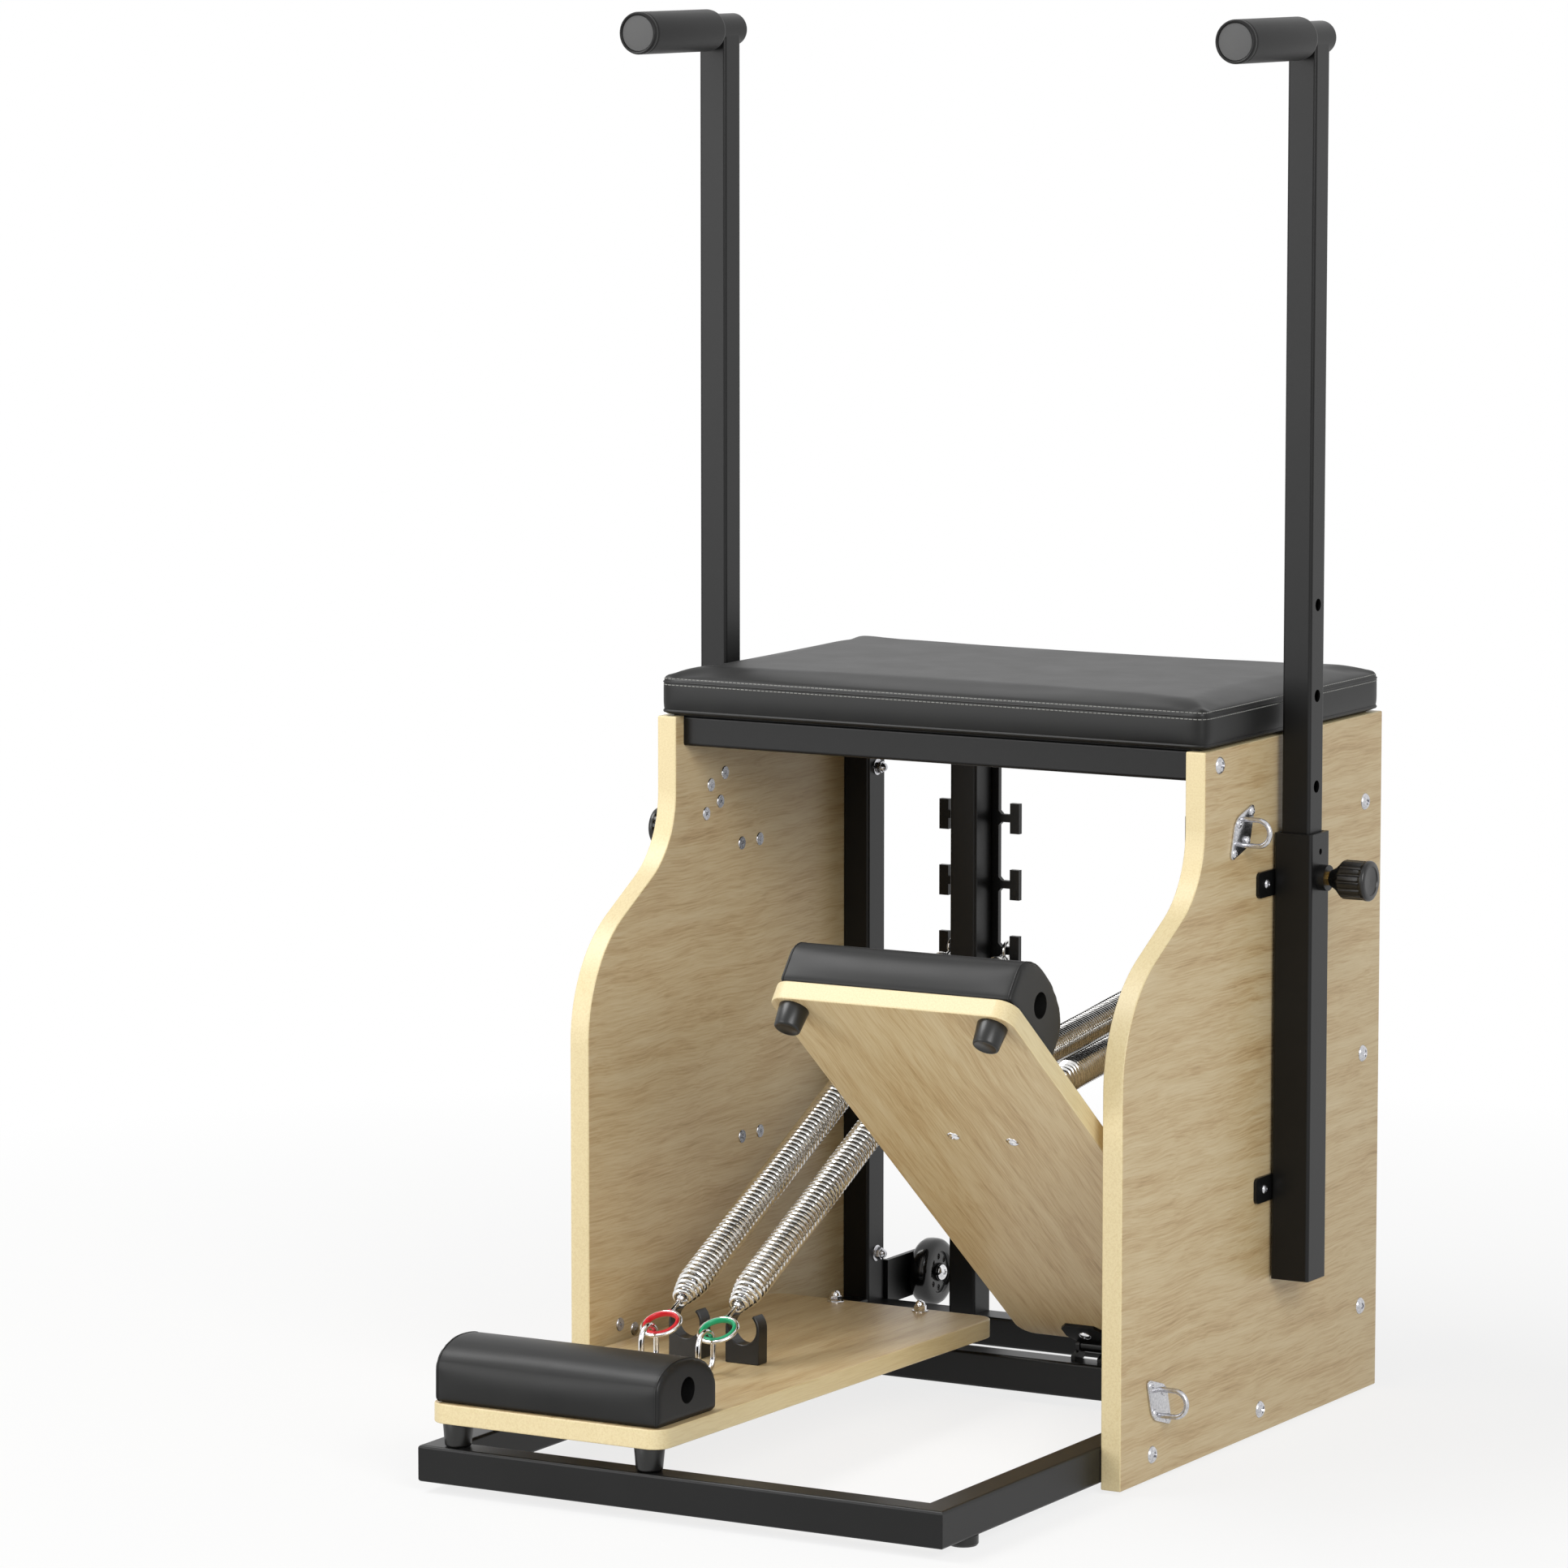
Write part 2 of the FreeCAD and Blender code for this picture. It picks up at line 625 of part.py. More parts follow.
# The seat's outlines, each with how far it is drawn in. The heights are above the cushion's foot,
# as a share of its side, below its top edge, and as a share of its crown.
SEAT_FOOT = ((2.5, 0), (0.6, 3))
SEAT_WAIST = (2.2, 0.45)
SEAT_RIM = ((0.4, 5), (1.6, 1.5), (5, 0))
SEAT_CROWN = ((16, 0.25), (50, 0.65), (100, 0.9), (150, 1))


def seat_shape():
    """A loft through the seat's outlines from its foot to its crown, hollow for the board."""
    tall, crown, corner = size("seat_thick"), size("seat_crown"), size("seat_corner")
    half, thick = size("half_width"), size("seat_board_thick")
    front, back = size("front_y + panel_head_set"), size("front_y + panel_back_set")
    base = size("panel_top + seat_lift")
    rings = list(SEAT_FOOT)
    rings.append((SEAT_WAIST[0], tall * SEAT_WAIST[1]))
    rings += [(inset, tall - drop) for inset, drop in SEAT_RIM]
    rings += [(inset, tall + crown * share) for inset, share in SEAT_CROWN]
    wires = []
    for inset, height in rings:
        low = (-half + inset, front + inset)
        high = (half - inset, back - inset)
        wires.append(rounded_wire(low, high, corner, base + height))
    cushion = Part.makeLoft(wires, True, True)
    gap, inset = size("running_gap"), size("seat_board_inset")
    hollow = Part.makeBox(2 * (half - inset + gap), back - front - 2 * (inset - gap), thick + gap,
                          Vector(-half + inset - gap, front + inset - gap, size("panel_top")))
    return cushion.cut(hollow)


keep_shape("seat_cushion", seat_shape())


def drilled(shape, start, way, radius, long):
    """A shape with a round hole from a point along a direction."""
    return shape.cut(Part.makeCylinder(radius, long, start, way))


def domed(radius, tall, start, way):
    """A low domed head standing on a face, turned from half of its section."""
    centre = tall - (radius ** 2 + tall ** 2) / (2 * tall)
    lean = math.atan2(-centre, radius) / 2 + math.pi / 4
    reach = tall - centre
    middle = Vector(reach * math.cos(lean), 0, centre + reach * math.sin(lean))
    foot, rim, top = Vector(), Vector(radius, 0, 0), Vector(0, 0, tall)
    section = Part.Wire([Part.makeLine(foot, rim), Part.Arc(rim, middle, top).toShape(),
                         Part.makeLine(top, foot)])
    head = Part.Face(section).revolve(foot, Vector(0, 0, 1), 360)
    head.Placement = Placement(start, Rotation(Vector(0, 0, 1), way))
    return head


def countersink(start, way):
    """The cone of a countersunk head whose top is flush with a bracket's face."""
    narrow, wide = size("screw_radius"), size("screw_head_radius")
    return Part.makeCone(narrow, wide, size("ear_thick"), start, way)


def rounded_plate(long, wide, thick, corner):
    """A flat plate about the origin on XY with rounded corners."""
    wire = rounded_wire((-long / 2, -wide / 2), (long / 2, wide / 2), corner, 0)
    return Part.Face(wire).extrude(Vector(0, 0, thick))


# Sleeves that guide the handle posts, each with its weld nut.
for side, sign in SIDES:
    sleeve = tube_body(f"{side}_sleeve", "sleeve_wide", "sleeve_wide", "sleeve_to - sleeve_from",
                       "sleeve_wall")
    holes = sketch_on(sleeve, "YZ_Plane", f"{side}_sleeve_holes")
    circle(holes, "0", "lock_height - sleeve_from", "lock_bush_radius")
    circle(holes, "0", "sleeve_peep - sleeve_from", "bolt_radius")
    cut = pocket(sleeve, holes, f"{side}_sleeve_drilling", False)
    cut.Reversed = sign > 0
    nut = sketch_on(sleeve, "YZ_Plane", f"{side}_weld_nut_ring")
    circle(nut, "0", "lock_height - sleeve_from", "lock_nut_radius")
    circle(nut, "0", "lock_height - sleeve_from", "lock_bush_radius")
    reach = "sleeve_wide / 2" if sign > 0 else "-sleeve_wide / 2 - lock_nut_long"
    nut.setExpression("AttachmentOffset.Base.z", bind(reach))
    pad(sleeve, nut, f"{side}_weld_nut", "lock_nut_long")
    keep(sleeve, f"{side}_sleeve", f"{sign} * sleeve_x", "sleeve_y", "sleeve_from")

ears = []
ear_long = size("ear_long + sleeve_wide + sleeve_wall")
for sign in (-1, 1):
    way = Vector(sign, 0, 0)
    for height in ("ear_low", "ear_high"):
        plate = rounded_plate(size("ear_tall"), ear_long, size("ear_thick"), size("ear_corner"))
        front_y = size("sleeve_y - sleeve_wide / 2 - ear_long")
        front = Vector(sign * size("half_width"), front_y, size(height))
        plate.Placement = Placement(front + Vector(0, ear_long / 2, 0), OUTWARD[sign])
        near = front + Vector(0, size("ear_screw_front"), 0)
        far = front + Vector(0, size("ear_long + ear_screw_back"), 0)
        plate = drilled(plate, near, way, size("screw_radius"), size("ear_thick"))
        ears.append(plate.cut(countersink(far, way)))
keep_shape("sleeve_brackets", Part.makeCompound(ears))

bushes = []
for sign in (-1, 1):
    way = Vector(sign, 0, 0)
    root = Vector(sign * size("sleeve_face_x - sleeve_wall"), size("sleeve_y"), size("lock_height"))
    long = size("lock_bush_long + sleeve_wall")
    bush = Part.makeCylinder(size("lock_bush_radius"), long, root, way)
    bushes.append(drilled(bush, root, way, size("lock_pin_radius + running_gap / 2"), long))
keep_shape("lock_bushes", Part.makeCompound(bushes))

# Locking pins, and the fluted knobs that pull them.
for side, sign in SIDES:
    way = Vector(sign, 0, 0)
    tip = Vector(sign * size("sleeve_face_x - sleeve_wall"), size("sleeve_y"), size("lock_height"))
    neck = size("sleeve_wall + lock_bush_long + knob_gap")
    pin = Part.makeCylinder(size("lock_pin_radius"), neck + size("knob_neck_long"), tip, way)
    keep_shape(f"{side}_lock_pin", pin)
    start = tip + way * neck
    cone = Part.makeCone(size("knob_neck_radius"), size("knob_radius"), size("knob_neck_long"),
                         start, way)
    grip_long = size("knob_long - knob_neck_long")
    grip = Part.makeCylinder(size("knob_radius"), grip_long,
                             start + way * size("knob_neck_long"), way)
    flutes = []
    count = int(size("knob_flutes"))
    for index in range(count):
        angle = 2 * math.pi * index / count
        ray = Vector(0, math.cos(angle), math.sin(angle))
        begin = start + ray * size("knob_radius + knob_flute_radius / 2") - way
        flute_long = size("knob_long - knob_rim")
        flutes.append(Part.makeCylinder(size("knob_flute_radius"), flute_long, begin, way))
    knob = cone.fuse(grip).removeSplitter().cut(Part.makeCompound(flutes))
    knob = drilled(knob, start, way, size("lock_pin_radius"), size("knob_neck_long"))
    keep_shape(f"{side}_lock_knob", knob)

# Handle posts with a round bar welded across the top, and their foam grips.
for side, sign in SIDES:
    post = tube_body(f"{side}_handle_post", "post_wide", "post_wide", "bar_height - post_from",
                     "post_wall")
    holes = sketch_on(post, "YZ_Plane", f"{side}_post_holes")
    circle(holes, "0", "lock_height - post_hole_pitch - post_from", "post_hole_radius")
    cut = pocket(post, holes, f"{side}_post_hole", False)
    cut.Reversed = sign > 0
    row_of_holes = post.newObject("PartDesign::LinearPattern", f"{side}_post_hole_row")
    row_of_holes.Originals = [cut]
    upright = next(item for item in post.Origin.OriginFeatures if item.Role == "Z_Axis")
    row_of_holes.Direction = (upright, [""])
    row_of_holes.setExpression("Length", bind("post_hole_pitch * (post_hole_count - 1)"))
    row_of_holes.setExpression("Occurrences", bind("post_hole_count"))
    post.Tip = row_of_holes
    cross = sketch_on(post, "XZ_Plane", f"{side}_top_bar_ring")
    circle(cross, "0", "bar_height - post_from", "bar_radius")
    cross.setExpression("AttachmentOffset.Base.z", bind("-post_wide / 2 - bar_behind"))
    pad(post, cross, f"{side}_top_bar",
        "post_wide / 2 + bar_behind + sleeve_set - grip_from_set - grip_end - running_gap")
    bore = sketch_on(post, "XZ_Plane", f"{side}_top_bar_bore")
    circle(bore, "0", "bar_height - post_from", "bar_radius - bar_wall")
    bore.setExpression("AttachmentOffset.Base.z", bind("-post_wide / 2 - bar_behind + bar_wall"))
    hollow = post.newObject("PartDesign::Pocket", f"{side}_top_bar_hollow")
    hollow.Profile = bore
    hollow.Type = "Length"
    hollow.Reversed = True
    hollow.setExpression("Length", bind("sleeve_set - grip_from_set + post_wide"))
    post.Tip = hollow
    keep(post, f"{side}_handle_post", f"{sign} * sleeve_x", "sleeve_y", "post_from")

    foam = doc.addObject("Part::Cylinder", f"{side}_foam")
    foam.setExpression("Radius", bind("grip_radius"))
    foam.setExpression("Height", bind("grip_to_set - grip_from_set"))
    core = doc.addObject("Part::Cylinder", f"{side}_foam_bore")
    core.setExpression("Radius", bind("bar_radius"))
    core.setExpression("Height", bind("grip_to_set - grip_from_set - grip_end"))
    core.setExpression("Placement.Base.z", bind("grip_end"))
    grip = doc.addObject("Part::Cut", f"{side}_grip")
    grip.Base, grip.Tool = foam, core
    keep(grip, f"{side}_grip", f"{sign} * sleeve_x", "front_y + grip_from_set", "bar_height", BACKWARD)

# Feet, fasteners and eyes that stay on the frame.
feet = []
for sign in (-1, 1):
    for along in (size("front_y + foot_set"), size("front_y + rear_frame_set - foot_set")):
        base = Vector(sign * size("bar_x"), along, 0)
        radius, lip = size("foot_radius"), size("foot_lip")
        foot = Part.makeCone(radius - size("foot_lip_in"), radius, lip, base)
        disc = Part.makeCylinder(radius, size("foot_tall") - lip, base + Vector(0, 0, lip))
        feet.append(foot.fuse(disc).removeSplitter())
keep_shape("base_feet", Part.makeCompound(feet))


def hexagon(across, tall, start, turn):
    """A hexagonal nut standing on a face."""
    corners = []
    for index in range(7):
        angle = math.radians(60 * index)
        corners.append(Vector(across * math.cos(angle), across * math.sin(angle), 0))
    body = Part.Face(Part.makePolygon(corners)).extrude(Vector(0, 0, tall))
    body.Placement = Placement(start, turn)
    return body


def acorn_nut(start, way, turn):
    """A hexagonal nut with a washer under it and a dome on top."""
    radius, tall = size("nut_radius"), size("nut_tall")
    washer = Part.makeCylinder(radius + size("washer_rim"), size("washer_thick"), start, way)
    seat = start + way * size("washer_thick")
    body = hexagon(radius, tall, seat, turn)
    dome = domed(size("acorn_radius"), size("acorn_radius"), seat + way * tall, way)
    return washer.fuse([body, dome])


bolts = []
for sign in (-1, 1):
    way = Vector(sign, 0, 0)
    for along, height in FRAME_BOLTS:
        start = Vector(sign * size("half_width"), size("front_y + " + along), size(height))
        shank = Part.makeCylinder(size("bolt_radius"), size("panel_thick + tube_wide"), start, -way)
        head = domed(size("bolt_head_radius"), size("bolt_head_tall"), start, way)
        inner = start - way * size("panel_thick + tube_wide")
        bolts.append(shank.fuse([head, acorn_nut(inner, -way, OUTWARD[-sign])]))
keep_shape("panel_bolts", Part.makeCompound(bolts))


def panel_screw(face, way, lift, head):
    """A screw through a panel and what lies on it, with a flat nut against the inner face."""
    start = face + way * lift
    inner = face - way * size("panel_thick")
    long = size("panel_thick + panel_nut_tall / 2") + lift
    shank = Part.makeCylinder(size("screw_radius"), long, start, -way)
    nut = Part.makeCylinder(size("panel_nut_radius"), size("panel_nut_tall"), inner, -way)
    return shank.fuse([nut, head])


FRONT_EARS, BACK_EARS = (0, 1), (2, 3)
screws = []
for sign in (-1, 1):
    way = Vector(sign, 0, 0)
    for index, (along, height) in enumerate(PANEL_SCREWS):
        face = Vector(sign * size("half_width"), size("front_y + " + along), size(height))
        lift = size("ear_thick" if index in FRONT_EARS else "band_eye_plate")
        if index in BACK_EARS:
            screws.append(panel_screw(face, way, 0, countersink(face, way)))
        else:
            head = domed(size("screw_head_radius"), size("screw_head_tall"), face + way * lift, way)
            screws.append(panel_screw(face, way, lift, head))
keep_shape("panel_screws", Part.makeCompound(screws))


def torus_arc(ring, wire, centre, axis, start, sweep):
    """Part of a torus about an axis, turned on from a start direction."""
    arc = Part.makeTorus(ring, wire, Vector(), Vector(0, 0, 1), -180, 180, sweep)
    turn = Rotation(start, axis.cross(start), axis, "ZXY")
    arc.Placement = Placement(centre, turn)
    return arc


def band_eye(sign, along, height, lean):
    """A rhombic plate with a rod bent to a loop that stands out from it."""
    long, short = size("band_eye_long") / 2, size("band_eye_short") / 2
    ways = (Vector(lean, 1, 0) * DIAGONAL * long, Vector(-lean, 1, 0) * DIAGONAL * short)
    corners = (ways[0], ways[1], -ways[0], -ways[1], ways[0])
    flat = Part.Face(Part.makePolygon(list(corners)))
    plate = flat.makeOffset2D(size("band_eye_edge")).extrude(Vector(0, 0, size("band_eye_plate")))
    for corner in corners[:4]:
        plate = drilled(plate, corner, Vector(0, 0, 1), size("screw_radius"), size("band_eye_plate"))
    loop, wire = size("band_eye_loop"), size("band_eye_wire")
    root = Vector(0, 0, size("band_eye_plate") / 2)
    straight = size("band_eye_reach - band_eye_wire - band_eye_loop") - root.z
    bend = torus_arc(loop, wire, root + Vector(0, 0, straight), Vector(1, 0, 0), Vector(0, 1, 0), 180)
    legs = [Part.makeCylinder(wire, straight, root + Vector(0, side * loop, 0)) for side in (-1, 1)]
    eye = plate.fuse([bend] + legs)
    upright = Rotation(Vector(0, 1, 0), Vector(0, 0, 1), Vector(1, 0, 0), "ZXY")
    if sign < 0:
        eye = eye.mirror(Vector(), Vector(0, 0, 1))
    eye.Placement = Placement(Vector(sign * size("half_width"), along, height), upright)
    return eye


eyes = [band_eye(sign, size("front_y + " + along), size(height), lean)
        for sign in (-1, 1) for along, height, lean in BAND_EYES]
keep_shape("band_eyes", Part.makeCompound(eyes))

# Transport wheels on arms behind the rear posts.
arms, axles = [], []
for side, sign in SIDES:
    centre = Vector(sign * size("inner_x - wheel_in"), size("wheel_y"), size("wheel_height"))
    wide, radius = size("wheel_wide"), size("wheel_radius")
    way = Vector(sign, 0, 0)
    bore = size("axle_radius + running_gap / 2")
    tyre = Part.makeCylinder(radius, wide, centre - way * (wide / 2), way)
    tyre = tyre.makeFillet(size("wheel_edge"), [edge for edge in tyre.Edges if edge.Closed])
    for face in (-1, 1):
        side_face = centre + way * (face * wide / 2)
        deep, rim, floor = size("wheel_dish_deep"), size("wheel_dish_radius"), size("wheel_dish_floor")
        dish = Part.makeCone(rim, floor, deep, side_face, way * -face)
        boss = Part.makeCylinder(size("wheel_boss_radius"), deep, side_face, way * -face)
        tyre = tyre.cut(dish.cut(boss))
    wheel = drilled(tyre, centre - way * wide, way, bore, 2 * wide)
    keep_shape(f"{side}_wheel", wheel)
    tall, thick = size("wheel_arm_tall"), size("wheel_arm_thick")
    arm_x = centre + way * (wide / 2 + size("wheel_gap"))
    start = size("rear_face_y")
    plate = Part.makeBox(thick, centre.y - start, tall,
                         Vector(min(arm_x.x, arm_x.x + sign * thick), start, centre.z - tall / 2))
    tip = Part.makeCylinder(tall / 2, thick, arm_x, way)
    flange_x = sorted((arm_x.x, sign * size("inner_x")))
    corner = Vector(flange_x[0], start, centre.z - tall / 2)
    flange = Part.makeBox(flange_x[1] - flange_x[0], thick, tall, corner)
    arm = plate.fuse([tip, flange])
    arms.append(drilled(arm, arm_x, way, size("axle_radius"), thick))
    shank_long = wide + thick + size("axle_spare")
    shank = Part.makeCylinder(size("axle_radius"), shank_long, arm_x + way * thick, -way)
    inner = arm_x + way * (thick - shank_long)
    head = domed(size("bolt_head_radius"), size("bolt_head_tall"), inner, -way)
    nut = hexagon(size("nut_radius"), size("nut_tall"), arm_x + way * thick, OUTWARD[sign])
    axles.append(shank.fuse([head, nut]))
keep_shape("wheel_brackets", Part.makeCompound(arms))
keep_shape("wheel_axles", Part.makeCompound(axles))

# Hinge lugs and pins on the cross bar.
lugs = []
HINGES = [side * size("pedal_middle") + way * size("hinge_out") for side in (-1, 1) for way in (-1, 1)]
LEVEL = Vector(0, size("pedal_y"), size("pedal_axis_height"))
for x in HINGES:
    lug_x = size("barrel_long") / 2 + size("running_gap")
    thick, radius = size("lug_thick"), size("lug_radius")
    drop = LEVEL.z - size("bar_top")
    rear = size("front_y + hinge_bar_set + tube_wide") - LEVEL.y
    for way in (-1, 1):
        start = x + (lug_x if way > 0 else -lug_x - thick)
        side_view = [(rear - size("lug_foot"), -drop), (rear, -drop), (radius, 0), (-radius, 0),
                     (-radius, -radius / 2), (rear - size("lug_foot"), -radius)]
        points = [LEVEL + Vector(start, y, z) for y, z in side_view]
        plate = Part.Face(Part.makePolygon(points + points[:1])).extrude(Vector(thick, 0, 0))
        round_top = Part.makeCylinder(radius, thick, LEVEL + Vector(start, 0, 0), Vector(1, 0, 0))
        lugs.append(plate.fuse(round_top))
    pin_long = 2 * (lug_x + thick)
    pin = Part.makeCylinder(size("hinge_pin_radius"), pin_long,
                            LEVEL + Vector(x - pin_long / 2, 0, 0), Vector(1, 0, 0))
    lugs[-2:] = [lugs[-2].fuse([lugs[-1], pin])]
keep_shape("hinge_brackets", Part.makeCompound(lugs))


def pedal_place(side, sign):
    """Where a pedal's own frame lies: its origin on the hinge axis, -Y to its front edge."""
    angle = size("pedal_down") if side == "left" else size("pedal_up")
    centre = Vector(sign * size("pedal_middle"), LEVEL.y, LEVEL.z)
    return Placement(centre, Rotation(Vector(1, 0, 0), -angle))


def pad_section(x, inset):
    """The pedal pad's outline at one place across, from the front face to its long back."""
    deep, tall, edge = size("pad_deep"), size("pad_tall"), size("pad_edge")
    side, shoulder = size("pad_side"), size("pad_shoulder")
    share = 1 - inset / tall
    front = -size("pedal_front") + size("pad_setback")
    def at(y, z):
        across = deep / 2 + (y - deep / 2) * (1 - 2 * inset / deep)
        return Vector(x, front + across, size("pedal_top") + z * share)
    low, high = at(0, size("pad_toe")), at(0, shoulder)
    brow = at(size("pad_brow_in"), size("pad_brow_up"))
    nape = at(size("pad_nape_in"), size("pad_nape_up"))
    crest, back = at(size("pad_crest_in"), tall), at(deep - edge, side)
    heel, foot = at(deep - edge / 2, 0), at(edge, 0)
    return Part.Wire([
        Part.makeLine(foot, low),
        Part.makeLine(low, high),
        Part.Arc(high, brow, crest).toShape(),
        Part.Arc(crest, nape, back).toShape(),
        Part.makeLine(back, heel),
        Part.makeLine(heel, foot),
    ])


def eye_bolt(x):
    """A link-shaped eye standing on the pedal, with its shank through the board."""
    high, low = size("eye_height"), size("eye_low")
    radius, wire = size("eye_radius"), size("eye_wire")
    y = -size("eye_along")
    axis = Vector(1, 0, 0)
    top = torus_arc(radius, wire, Vector(x, y, high), axis, Vector(0, 1, 0), 180)
    bottom = torus_arc(radius, wire, Vector(x, y, low), axis, Vector(0, -1, 0), 180)
    sides = [Part.makeCylinder(wire, high - low, Vector(x, y + way * radius, low)) for way in (-1, 1)]
    floor = size("pedal_top")
    under = Vector(x, y, size("pedal_lift"))
    collar = Part.makeCylinder(2 * wire, low - radius - floor + wire / 2, Vector(x, y, floor))
    shank = Part.makeCylinder(size("bolt_radius"), size("pedal_thick"), under)
    head = domed(size("bolt_head_radius"), size("screw_head_tall"), under, Vector(0, 0, -1))
    return top.fuse([bottom] + sides + [collar, shank, head])


def cradle(x):
    """A C-shaped rest that a slack spring clips into."""
    wide, deep, tall = size("cradle_wide"), size("cradle_deep"), size("cradle_tall")
    base = Vector(x - wide / 2, -size("cradle_along") - deep / 2, size("pedal_top"))
    block = Part.makeBox(wide, deep, tall, base)
    centre = base + Vector(wide / 2, -1, size("cradle_round_height"))
    hollow = Part.makeCylinder(size("cradle_round"), deep + 2, centre, Vector(0, 1, 0))
    gap = size("cradle_mouth")
    mouth = Part.makeBox(gap, deep + 2, tall, centre - Vector(gap / 2, 0, 0))
    top_edges = [edge for edge in block.Edges
                 if abs(edge.CenterOfMass.z - base.z - tall) < 0.1 and edge.BoundBox.YLength > deep - 0.1]
    return block.makeFillet(size("cradle_edge"), top_edges).cut(hollow.fuse(mouth))


def hinge_leaf(x):
    """A leaf under the board, narrow at its barrel and wide on the board, with the barrel."""
    wide, thick, long = size("leaf_wide") / 2, size("leaf_thick"), size("leaf_long")
    narrow, radius = size("barrel_long") / 2, size("barrel_radius")
    clear = size("lug_radius + running_gap")
    shoulder = -clear - size("leaf_shoulder")
    corner, tip = -long + size("leaf_corner"), size("leaf_tip_wide") / 2
    outline = [(-narrow, 0), (narrow, 0), (narrow, -clear), (wide, shoulder), (wide, corner),
               (tip, -long), (-tip, -long), (-wide, corner), (-wide, shoulder), (-narrow, -clear)]
    points = [Vector(x + across, along, -thick / 2) for across, along in outline]
    plate = Part.Face(Part.makePolygon(points + points[:1])).extrude(Vector(0, 0, thick))
    barrel = Part.makeCylinder(radius, 2 * narrow, Vector(x - narrow, 0, 0), Vector(1, 0, 0))
    leaf = plate.fuse(barrel)
    pin = size("hinge_pin_radius + running_gap / 4")
    leaf = drilled(leaf, Vector(x - wide, 0, 0), Vector(1, 0, 0), pin, 2 * wide)
    bolt = Vector(x, -size("hinge_bolt_along"), -thick)
    return drilled(leaf, bolt, Vector(0, 0, 1), size("bolt_radius"), 2 * thick)


# How far the pad's rounded ends are drawn in, each with its distance from the end.
PAD_ENDS = ((0, 4), (1, 1.6), (4, 0))

for side, sign in SIDES:
    place = pedal_place(side, sign)
    tread = doc.addObject("PartDesign::Body", f"{side}_pedal_board")
    outline = sketch_on(tread, "XY_Plane", f"{side}_pedal_outline")
    rounded_rectangle(outline, "pedal_wide", "pedal_front - pedal_rear", "pedal_corner")
    outline.setExpression("AttachmentOffset.Base.y", bind("-(pedal_front + pedal_rear) / 2"))
    outline.setExpression("AttachmentOffset.Base.z", bind("pedal_lift"))
    ply = pad(tread, outline, f"{side}_pedal_ply", "pedal_thick")
    rounded(tread, ply, "panel_round")
    holes = sketch_on(tread, "XY_Plane", f"{side}_pedal_holes")
    for way in (-1, 1):
        circle(holes, f"{way} * hinge_out", "-hinge_bolt_along", "bolt_radius")
        circle(holes, f"{way} * spring_out", "-eye_along", "bolt_radius")
    pocket(tread, holes, f"{side}_pedal_drilling")
    tread.Label = f"{side}_pedal_board"
    tread.Placement = place
    nodes.append(tread)

    half, swell = size("pad_long") / 2, size("pad_swell")
    stations = [(-half + along, inset) for along, inset in PAD_ENDS]
    stations += [(-half / 2, -swell), (half / 2, -swell)]
    stations += [(half - along, inset) for along, inset in reversed(PAD_ENDS)]
    cushion = Part.makeLoft([pad_section(x, inset) for x, inset in stations], True, True)
    bore_y = -size("pedal_front") + size("pad_setback") + size("pad_deep") / 2
    bore = Vector(-half - 1, bore_y, size("pedal_top + pad_bore_height"))
    cushion = drilled(cushion, bore, Vector(1, 0, 0), size("pad_bore_radius"), 2 * half + 2)
    keep_shape(f"{side}_pedal_pad", cushion, place)

    stops = [Part.makeCone(size("bumper_radius"), size("bumper_tip_radius"), size("bumper_tall"),
                           Vector(way * size("bumper_out"), -size("bumper_along"), size("pedal_lift")),
                           Vector(0, 0, -1)) for way in (-1, 1)]
    keep_shape(f"{side}_pedal_bumpers", Part.makeCompound(stops), place)
    eye_pair = [eye_bolt(way * size("spring_out")) for way in (-1, 1)]
    keep_shape(f"{side}_spring_eyes", Part.makeCompound(eye_pair), place)
    rests = [cradle(way * size("spring_out")) for way in (-1, 1)]
    keep_shape(f"{side}_spring_cradles", Part.makeCompound(rests), place)
    leaves = [hinge_leaf(way * size("hinge_out")) for way in (-1, 1)]
    keep_shape(f"{side}_hinge_leaves", Part.makeCompound(leaves), place)
    fixings = []
    up = Vector(0, 0, 1)
    for way in (-1, 1):
        top = Vector(way * size("hinge_out"), -size("hinge_bolt_along"), size("pedal_top"))
        depth = size("pedal_thick + leaf_thick")
        shank = Part.makeCylinder(size("bolt_radius"), depth, top, -up)
        head = domed(size("nut_radius"), size("screw_head_tall"), top - up * depth, -up)
        fixings.append(shank.fuse([head, acorn_nut(top, up, Rotation())]))
    keep_shape(f"{side}_pedal_bolts", Part.makeCompound(fixings), place)


# The coil's path is worked out in quarter turns.
QUARTERS = 4


def spring_path(length):
    """Points and directions along the coil, from its foot to its top, drawn in at both ends."""
    start, end = size("coil_foot_gap"), length - size("coil_top_gap")
    turns, cone = size("coil_turns"), size("coil_cone_turns")
    wide, narrow = size("coil_radius"), size("coil_end_radius")
    pitch = (end - start) / turns
    count = int(round(turns * QUARTERS))
    stops = []
    for index in range(count + 1):
        turn = index / QUARTERS
        near = min(turn, turns - turn, cone) / cone
        radius = narrow + (wide - narrow) * near
        angle = 2 * math.pi * turn
        growth = (wide - narrow) / cone / (2 * math.pi)
        growth = 0 if min(turn, turns - turn) >= cone else growth * (1 if turn < turns / 2 else -1)
        spot = Vector(radius * math.cos(angle), radius * math.sin(angle), start + pitch * turn)
        way = Vector(growth * math.cos(angle) - radius * math.sin(angle),
                     growth * math.sin(angle) + radius * math.cos(angle), pitch / (2 * math.pi))
        stops.append((spot, way.normalize()))
    return stops


